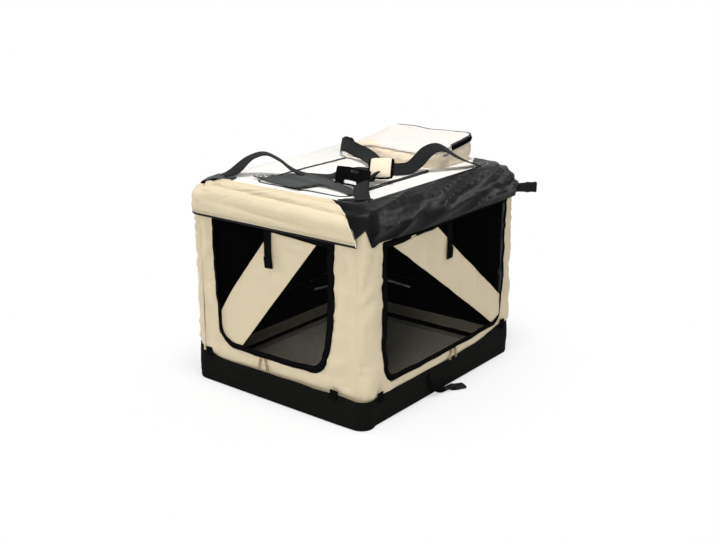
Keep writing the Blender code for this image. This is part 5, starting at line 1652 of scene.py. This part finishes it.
def make_pocket_lid(outline):
    """The padded lid. Returns its edge."""
    cx, cy, _ = POCKET_CENTRE
    rows = []
    for share in LID_SHARES:
        round_over = 0.0035 * max(0.0, (share - 0.9) / 0.1) ** 2
        row = []
        for x, y in outline:
            px, py = cx + (x - cx) * share, cy + (y - cy) * share
            front = bell(py, POCKET_FRONT, 0.045)
            soft = rumple((px, py, 0.7), 0.06, 0.0020)
            soft += front * 0.0040 * crease(Vector((px * 24, py * 9, 2.2)), 2.0)
            high = ROOF_TOP + pocket_height(px, py) + LID * 0.8 - round_over
            row.append(Vector((px, py, high + soft * (1 - share ** 6) - front * 0.0010)))
        rows.append(row)
    edge = rows[-1]
    under = [lowered(edge, LID * 0.8)] + [lowered(rows[index], LID * 0.9) for index in (10, 5, 0)]
    lid = fix_normals(loft("pocket_padded_lid", rows + under, True, "pocket", "gusset", caps=True))
    # Painted light: the lid's top keeps the pale pink-white painted as lit from above; its front lip takes the
    # gusset's peach cream.
    for polygon in lid.data.polygons:
        x, y, _ = polygon.center
        if y < 0.192 - (x - POCKET_LEFT) * 0.22 - 0.05 * clamped((x - POCKET_LEFT) / 0.2):
            polygon.material_index = 1
    finish_piece(settle(lid, 60), "lid", "cream_cloth", "pocket_lid")
    return edge


def make_pocket_trim(edge):
    """The piping round the lid's back and sides, and the zip along the pocket's right side."""
    normals = [level_of(p - POCKET_CENTRE) for p in edge]
    behind = [i for i, p in enumerate(edge) if p.y > POCKET_FRONT + 0.060]
    start = next(i for i in behind if (i - 1) % len(edge) not in behind)
    order = [(start + i) % len(edge) for i in range(len(behind))]
    piping = sweep("piping", [edge[i] - UP * 0.0008 for i in order], [normals[i] for i in order],
                   round_section(0.0034, 8), False, "mesh")
    finish_piece(join("pocket_piping", [piping]), "lid", "black_webbing")
    right_side = [i for i in order if edge[i].x > POCKET_RIGHT - 0.012 and edge[i].y < POCKET_REAR - 0.004]
    low = [edge[i] - UP * 0.0085 + normals[i] * 0.0022 for i in right_side]
    out = [normals[i] for i in right_side]
    tape = sweep("tape", low, out, tape_section(0.014, 0.0016, 0.0010), False, "binding")
    coil = zip_teeth("coil", [p + n * 0.0022 for p, n in zip(low, out)], out)
    finish_piece(join("pocket_zip", [tape, coil]), "roof", "black_webbing")


def patch_place(x, y):
    """Where a corner patch lies, crumpled a little over the roof."""
    return roof_point(x, y, 0.0022 + abs(rumple((x, y, 0.2), 0.025, 0.0012)))


def make_corner_patches():
    """Black cloth patches on the roof's corners, under the handles' feet."""
    for name, way_x, way_y, long_y in (("front_right", 1, -1, 0.060), ("front_left", -1, -1, 0.060),
                                       ("rear_right", 1, 1, 0.085), ("rear_left", -1, 1, 0.085)):
        corner = arc(ROOF_HALF_X - ROOF_CORNER, ROOF_HALF_Y - ROOF_CORNER, ROOF_CORNER - 0.0005, 0, 90)
        inner = [(ROOF_HALF_X - 0.062, ROOF_HALF_Y), (ROOF_HALF_X - 0.052, ROOF_HALF_Y - 0.030),
                 (ROOF_HALF_X - 0.030, ROOF_HALF_Y - long_y * 0.75), (ROOF_HALF_X, ROOF_HALF_Y - long_y)]
        outline = [(way_x * x, way_y * y) for x, y in corner + inner]
        if way_x * way_y < 0:
            outline = outline[::-1]
        piece = patch(name + "_corner_patch", [outline], 0.008, patch_place, "nylon")
        thicken(piece, 0.0016)
        finish_piece(piece, "roof", "black_nylon")


# Handles

def handle_path(route, start_y):
    spread_x = (ROOF_HALF_X - 0.0067) / route[-1][0]
    points = [Vector((x * spread_x, start_y + y, ROOF_TOP + GAP + z)) for x, y, z in route]
    fine = smooth_route(points, 6)
    return [p + UP * roof_wave(p.x, p.y) * max(0.0, 1 - (p.z - ROOF_TOP) / 0.02) for p in fine], points


def ribbon_frames(path, rolls=None):
    """Out directions for webbing. rolls gives the degrees turned towards the front at places across."""
    frames = []
    for point, tangent in zip(path, tangents(path, False)):
        across = UP.cross(tangent).normalized()
        out = tangent.cross(across).normalized()
        turn = math.radians(blend_between(rolls, point.x)) if rolls else 0.0
        frames.append(out * math.cos(turn) - across * math.sin(turn))
    return frames


FRONT_ROLLS = ((-0.228, 0), (-0.205, 26), (-0.170, 10), (-0.135, -4), (-0.090, -4), (-0.045, 2), (0.050, 8),
               (0.095, 46), (0.140, 50), (0.180, 18), (0.228, 0))
REAR_ROLLS = ((-0.228, 5), (-0.214, 45), (-0.196, 80), (-0.140, 80), (-0.090, 70), (-0.040, 48), (0.030, 26),
              (0.100, 40), (0.150, 42), (0.190, 22), (0.228, 4))


def stand_on_edge(path, rolls):
    """Lower or lift a route so that rolled webbing keeps its top edge there and clears the roof."""
    moved = []
    for p in path:
        reach = HANDLE_WIDTH / 2 * math.sin(math.radians(blend_between(rolls, p.x)))
        moved.append(Vector((p.x, p.y, max(p.z - 0.7 * reach, ROOF_TOP + reach + 0.0015))))
    return moved


def make_handles():
    """The two webbing handles with their rows of stitches. The front one carries the grip."""
    for side, route, start_y, rolls in (
            ("front", FRONT_HANDLE_ROUTE, -ROOF_HALF_Y, FRONT_ROLLS),
            ("rear", REAR_HANDLE_ROUTE, POCKET_FRONT, REAR_ROLLS)):
        body = "carry_handle_" + side
        path, points = handle_path(route, start_y)
        path = stand_on_edge(path, rolls)
        frames = ribbon_frames(path, rolls)
        section = tape_section(HANDLE_WIDTH, HANDLE_THICK, 0.0003)
        pieces = [sweep("strap", path, frames, section, False, "webbing")]
        for shift in (-HANDLE_WIDTH / 2 + 0.003, HANDLE_WIDTH / 2 - 0.003):
            line = [p + f * (HANDLE_THICK + 0.0001) + f.cross(t) * shift
                    for p, f, t in zip(path, frames, tangents(path, False))]
            pieces.append(stitches("handle_stitch", line, frames, "black_thread"))
        strap = join(side + "_handle_webbing", pieces)
        finish_piece(strap, body, "black_webbing", side + "_handle")
        if side == "front":
            make_grip(points, body)
        else:
            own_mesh(strap)


def signed_power(value, power):
    """value's size to a power, with its own sign: below 1 it squares a circle up."""
    return math.copysign(abs(value) ** power, value)


GRIP_LENGTH, GRIP_HALF_WIDTH, GRIP_HALF_HEIGHT, GRIP_SIDES = 0.058, 0.027, 0.0095, 36


def make_grip(points, body):
    """The padded grip, folded round the handle on edge and bound in black."""
    start, end = points[GRIP_START], points[GRIP_END]
    along = Matrix.Rotation(math.radians(24), 3, "Z") @ (end - start).normalized()
    centre = (start + end) / 2 + Vector((0.044, 0.000, 0.013))
    turn = Matrix.Rotation(math.radians(56), 3, along)
    across = turn @ UP.cross(along).normalized()
    out = along.cross(across)
    rows = []
    for share in shares(12):
        drawn = 1 - 0.12 * abs(2 * share - 1) ** 4
        row = []
        for angle in turns(GRIP_SIDES):
            wide = GRIP_HALF_WIDTH * signed_power(math.cos(angle), 0.55) * drawn
            high = GRIP_HALF_HEIGHT * signed_power(math.sin(angle), 0.75) * drawn
            spot = centre + along * (share - 0.5) * GRIP_LENGTH + across * wide + out * high
            row.append(spot + out * rumple(spot, 0.018, 0.0012))
        rows.append(row)
    grip = fix_normals(loft("padded_grip", rows, True, "gusset", caps=True))
    grip = smooth_finer(swell(grip, pressure=4.0, cap=0.005, voxel=0.003))
    finish_piece(grip, body, "cream_cloth", "handle_grip")
    rims = []
    for row in (rows[0], rows[-1]):
        hub = sum(row, Vector()) / len(row)
        normals = [(p - hub).normalized() for p in row]
        rims.append(sweep("rim", row, normals, round_section(0.0026, 8, -0.0006), True, "binding"))
    lower_edge = [row[GRIP_SIDES // 2] for row in rows]
    section = tape_section(0.009, 0.0024, 0.0008)
    rims.append(sweep("rim", lower_edge, -across, section, False, "binding"))
    finish_piece(join("grip_binding", rims), body, "black_webbing")
    make_keeper(body)


KEEPER_LENGTH, KEEPER_HEIGHT, KEEPER_MIDDLE = 0.116, 0.046, 0.024


def make_keeper(body):
    """The hook-and-loop keeper on the handle's right part: a black band with two slots, on its edge."""
    upper_slot = rounded(0.040, 0.078, 0.0335, 0.0415, 0.0035, 3)
    lower_slot = rounded(0.024, 0.074, 0.0040, 0.0135, 0.0042, 3)
    lower = halves_round(0.0, KEEPER_LENGTH, 0.0, KEEPER_MIDDLE, lower_slot, 0.050)
    upper = halves_round(0.0, KEEPER_LENGTH, KEEPER_MIDDLE, KEEPER_HEIGHT, upper_slot, 0.050)
    root = Vector((0.068, -0.190, ROOF_TOP + 0.0035))

    def place(u, v):
        bend = 0.006 * math.sin(u * 45) + 0.010 * (v / KEEPER_HEIGHT) ** 2
        share = u / KEEPER_LENGTH
        return root + Vector((u, -0.010 * share + bend, v * 0.96 + 0.004 * share))

    band = thicken(patch("band", lower + upper, 0.006, place, "binding", "binding"), 0.004, offset=0.0)
    finish_piece(join("grip_keeper", [band]), body, "black_webbing")


def slider_mesh(finish):
    """A zip slider: a waisted body, its bridge, an eye and a pull with a hole in it."""
    rows = []
    for y, half, high in ((-0.0065, 0.0030, 0.0012), (-0.0050, 0.0042, 0.0022), (0.0, 0.0044, 0.0026),
                          (0.0045, 0.0050, 0.0022), (0.0065, 0.0036, 0.0012)):
        rows.append([Vector((x * half, y, 0.0002 + z * high)) for x, z in (
            (-1, 0), (-1, 0.6), (-0.7, 1), (0.7, 1), (1, 0.6), (1, 0))])
    body = fix_normals(loft("body", rows, True, finish, caps=True))
    bridge_path = smooth_route([Vector((0, y, z)) for y, z in (
        (0.0045, 0.0022), (0.0035, 0.0042), (0.0, 0.0050), (-0.0035, 0.0042), (-0.0045, 0.0022))], 3)
    bridge = sweep("bridge", bridge_path, Vector((1, 0, 0)), round_section(0.0009, 6), False, finish)
    ring = [Vector((0.0022 * math.cos(a), -0.0060 + 0.0042 * math.sin(a), 0.0040)) for a in turns(14)]
    eye = sweep("eye", ring, UP, round_section(0.0008, 6), True, finish)
    half, low, high = 0.0034, -0.0265, -0.0085
    hole = rounded(-0.0015, 0.0015, -0.0245, -0.0180, 0.0014, 4)

    def pull_place(u, v):
        return Vector((u, v, 0.0036 - 0.03 * max(0.0, high - v)))

    pull = patch("pull", halves_round(-half, half, low, high, hole, 0.0), 0.004, pull_place, finish)
    thicken(pull, 0.0014)
    return join("slider", [body, bridge, eye, pull])


def put_slider(name, node_name, place, body, finish):
    """Put a slider in place with its edges broken."""
    slider = slider_mesh(finish)
    slider.name = name
    slider.data.transform(place)
    bevel = slider.modifiers.new("edges", "BEVEL")
    bevel.width, bevel.segments, bevel.limit_method = 0.0003, 2, "ANGLE"
    finish_piece(settle(slider), body, "zip_metal", node_name)


def side_matrix(side):
    """From a slider's own axes to a wall's outer face."""
    across, outward, _, reach = SIDES[side]
    return Matrix.Translation(outward * reach) @ Matrix((across, UP, outward)).transposed().to_4x4()


DOOR_SLIDERS = (
    ("front", "front", -0.041, 0.109, ("left", "right")),
    ("right", "side", 0.035, 0.101, ("front", "rear")),
)
SLIDER_SPREAD, SLIDER_TURN, POCKET_ZIP_HEIGHT = 0.009, 14, 0.5955


def turned(degrees):
    """A turn about Z."""
    return Matrix.Rotation(math.radians(degrees), 4, "Z")


def make_sliders():
    """Two sliders at each door's sill, one on the hatch and one on the pocket."""
    for side, label, middle, height, ends in DOOR_SLIDERS:
        for way, end in zip((-1, 1), ends):
            shift = Matrix.Translation((middle + way * SLIDER_SPREAD, height, 0.0026))
            place = side_matrix(side) @ shift @ turned(way * SLIDER_TURN) @ Matrix.Scale(1.25, 4, (1, 0, 0))
            node_name = f"{label}_slider_{end}"
            put_slider(node_name + "_metal", node_name, place, f"slider_{label}_{end}", "bronze")
    where = Matrix.Translation((HATCH_LEFT - 0.012, HATCH_FRONT + 0.040, ROOF_TOP + 0.0020))
    place = where @ turned(150) @ Matrix.Scale(1.35, 4)
    put_slider("hatch_slider_metal", "hatch_slider", place, "slider_hatch", "zinc")
    where = Matrix.Translation((POCKET_FRONT + 0.040, POCKET_ZIP_HEIGHT, POCKET_RIGHT - HALF_X + 0.003))
    place = side_matrix("right") @ where @ turned(-90)
    put_slider("pocket_slider_metal", "pocket_slider", place, "slider_pocket", "zinc")


BUCKLE_LOOP = (
    (0.012, 0.0018), (0.018, 0.0030), (0.0265, 0.0050), (0.0325, 0.0030), (0.0330, 0.0), (0.0300, -0.0028),
    (0.022, -0.0026), (0.014, -0.0014),
)
BUCKLE_SECTIONS = (
    (0.0270, 0.0115, 0.0036), (0.0285, 0.0140, 0.0046), (0.0340, 0.0150, 0.0050), (0.0420, 0.0138, 0.0050),
    (0.0490, 0.0138, 0.0047), (0.0555, 0.0150, 0.0044), (0.0590, 0.0142, 0.0036), (0.0600, 0.0125, 0.0028),
)


def buckle_mesh():
    """Half of a side-release buckle with its strap: the strap's root at the origin, along +Y."""
    strap_path = [Vector((0, y, 0.0)) for y in (0.0, 0.010, 0.020, 0.027)]
    strap = sweep("strap", strap_path, UP, tape_section(0.025, WEBBING, 0.0002), False, "webbing")
    over = smooth_route([Vector((0, y, z)) for y, z in BUCKLE_LOOP], 4)
    outs = [t.cross(Vector((-1, 0, 0))).normalized() for t in tangents(over, False)]
    loop = sweep("loop", over, outs, tape_section(0.0245, WEBBING, 0.0001), False, "webbing")
    rows = []
    angles = turns(28)
    for y, half, high in BUCKLE_SECTIONS:
        xs = [half * signed_power(math.cos(a), 0.35) for a in angles]
        zs = [high * signed_power(math.sin(a), 0.55) for a in angles]
        rows.append([Vector((x, y, z)) for x, z in zip(xs, zs)])
    inner = []
    for y, shrink in ((0.0600, 0.80), (0.0500, 0.78), (0.0440, 0.76)):
        inner.append([Vector((p.x * shrink, y, p.z * (shrink - 0.14))) for p in rows[5]])
    body = fix_normals(loft("body", rows + inner, True, "plastic", caps=True))
    ribs = []
    for y in (0.0385, 0.0412, 0.0439):
        path = [Vector((x, y, 0.0050)) for x in (-0.009, 0.0, 0.009)]
        ribs.append(sweep("rib", path, UP, round_section(0.0006, 6), False, "plastic"))
    return join("buckle", [strap, loop, settle(body)] + ribs)


def make_buckles():
    """The floor's buckle half on the right, and the one at the roof edge's rear right corner."""
    floor_place = Matrix.Translation((HALF_X + 0.01253, -0.015, 0.0053)) @ turned(-30)
    corner = Vector((HALF_X - 0.031, HALF_Y - 0.031, HEM + 0.020))
    upper_place = (Matrix.Translation(corner) @ turned(-45) @ Matrix.Translation((0.0, 0.0404, 0.0))
                   @ Matrix.Rotation(math.radians(90), 4, "Y"))
    for name, place, body in (("lower_buckle", floor_place, "buckle_lower"),
                              ("upper_buckle", upper_place, "buckle_upper")):
        buckle = buckle_mesh()
        buckle.name = name + "_moulded"
        buckle.data.transform(place)
        finish_piece(buckle, body, "black_plastic", name)


FLOOR_STRAP = (
    (0.0025, -0.086, 0.066), (0.0030, -0.078, 0.048), (0.0050, -0.060, 0.022), (0.0085, -0.040, 0.008),
    (0.0125, -0.016, 0.0052),
)


def make_buckle_strap():
    """The strap sewn on the skirt that runs down to the floor buckle."""
    path = smooth_route([Vector((HALF_X + out, y, z)) for out, y, z in FLOOR_STRAP], 6)
    last, start, end = len(path) - 1, Vector((1, 0, 0)), Vector((0.15, -0.1, 1))
    outs = [start.lerp(end, (i / last) ** 0.7).normalized() for i in range(len(path))]
    strap = sweep("floor_buckle_strap", path, outs, tape_section(0.022, WEBBING, 0.0002), False, "binding")
    finish_piece(strap, "base", "black_webbing")


def dress_cad_nodes():
    """The steel frame and the lock buttons keep their CAD shapes and get their finishes."""
    steel = ("base_ring", "base_hinge", "lower_leg", "upper_leg", "front_arch", "rear_arch", "left_rail",
             "right_rail")
    for names, key in ((steel, "steel"), (("knee_button",), "plastic")):
        for name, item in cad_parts.items():
            if name.startswith(names):
                item.data.materials.clear()
                item.data.materials.append(finishes[key])


# Camera, light and floor

CAMERA_PLACE, CAMERA_AZIMUTH, CAMERA_ELEVATION = (1.750, -2.329, 1.182), 38.07, 18.01
LAMPS = (
    ("overhead", (0.45, -0.50, 3.0), (0, 0, 0.25), 0.7, 52.0),
    ("left", (-3.1, -1.15, 1.5), (0, 0, 0.25), 0.6, 40.0),
    ("right", (1.9, 2.8, 1.7), (0, 0, 0.25), 0.8, 22.0),
    ("front", (1.5, -2.7, 1.55), (0, 0, 0.15), 1.0, 34.0),
)


def set_up(name, data, place, way):
    """Put a camera or a lamp at a place, looking along way."""
    item = bpy.data.objects.new(name, data)
    bpy.context.scene.collection.objects.link(item)
    item.location = place
    item.rotation_mode = "QUATERNION"
    item.rotation_quaternion = way.to_track_quat("-Z", "Y")
    return item


def make_camera():
    """The photograph's camera: to the front right of the crate and a little above it."""
    azimuth, elevation = math.radians(CAMERA_AZIMUTH), math.radians(CAMERA_ELEVATION)
    back = Vector((math.sin(azimuth) * math.cos(elevation), -math.cos(azimuth) * math.cos(elevation),
                   math.sin(elevation)))
    data = bpy.data.cameras.new("camera")
    data.sensor_width, data.lens = 36.0, 55.3
    data.shift_x, data.shift_y = 0.0290, 0.0196
    data.clip_start, data.clip_end = 0.05, 60.0
    bpy.context.scene.camera = set_up("camera", data, CAMERA_PLACE, -back)


def make_lamps():
    for name, place, aim, size, power in LAMPS:
        data = bpy.data.lights.new(name, "AREA")
        data.shape, data.size, data.energy = "DISK", size, power
        set_up(name, data, place, Vector(aim) - Vector(place))


def make_world():
    """White all round, and dimmer as a light than as what is seen."""
    world = bpy.data.worlds.new("studio")
    bpy.context.scene.world = world
    world.use_nodes = True
    tree = world.node_tree
    background = tree.nodes["Background"]
    background.inputs["Color"].default_value = (1, 1, 1, 1)
    rays = node(tree, "ShaderNodeLightPath")
    seen = maths(tree, "MAXIMUM", rays.outputs["Is Camera Ray"],
                 maths(tree, "MAXIMUM", rays.outputs["Is Glossy Ray"], rays.outputs["Is Transmission Ray"]))
    tree.links.new(spread(tree, seen, 0.20, 1.0), background.inputs["Strength"])


def make_floor():
    """A pale floor that takes the crate's soft shadow and fades to white away from it."""
    shape = bmesh.new()
    bmesh.ops.create_circle(shape, cap_ends=True, segments=64, radius=14.0)
    floor = bpy.data.objects.new("floor", plain_mesh(shape, "floor"))
    bpy.context.scene.collection.objects.link(floor)
    material, tree, shader = shader_of("pale_floor", (0.90, 0.90, 0.90), 0.9)
    glow = node(tree, "ShaderNodeEmission", None, Color=(1, 1, 1, 1), Strength=1.0)
    rays = node(tree, "ShaderNodeLightPath")
    where = node(tree, "ShaderNodeTexCoord").outputs["Object"]
    flat = node(tree, "ShaderNodeVectorMath", {"operation": "MULTIPLY"}, i0=where, i1=(1.0, 0.8, 0.0))
    away = node(tree, "ShaderNodeVectorMath", {"operation": "LENGTH"}, i0=flat.outputs[0]).outputs["Value"]
    far = node(tree, "ShaderNodeMapRange", {"interpolation_type": "SMOOTHSTEP"}, Value=away)
    for label, value in (("From Min", 0.25), ("From Max", 0.62), ("To Min", 0.55), ("To Max", 1.0)):
        far.inputs[label].default_value = value
    share = maths(tree, "MULTIPLY", rays.outputs["Is Camera Ray"], far.outputs["Result"])
    mixed = node(tree, "ShaderNodeMixShader", None, i0=share, i1=shader.outputs[0], i2=glow.outputs[0])
    tree.links.new(mixed.outputs[0], tree.nodes["Material Output"].inputs["Surface"])
    floor.data.materials.append(material)
    floor.location.z = -0.0005


def make_studio():
    make_camera()
    make_lamps()
    make_world()
    make_floor()
    bpy.context.scene.view_settings.view_transform = "Standard"


make_studio()
dress_cad_nodes()
make_tray()
make_skirt()
make_tabs()
make_mat()
make_ring_sleeve()
make_walls()
make_painted_light_slits()
make_door("front", FRONT_DOOR, "front_door")
make_door("right", SIDE_DOOR, "side_door")
make_tie("front", -0.020, "front_tie")
make_tie("right", 0.0, "side_tie")
make_window("left", LEFT_WINDOW_HALF)
make_window("rear", REAR_WINDOW_HALF)
make_eaves()
make_corner_tongue()
make_roof()
make_hatch()
make_pocket()
make_corner_patches()
make_handles()
make_sliders()
make_buckles()
make_buckle_strap()
for unit in (stitch_unit, tooth_unit):
    bpy.data.objects.remove(unit, do_unlink=True)
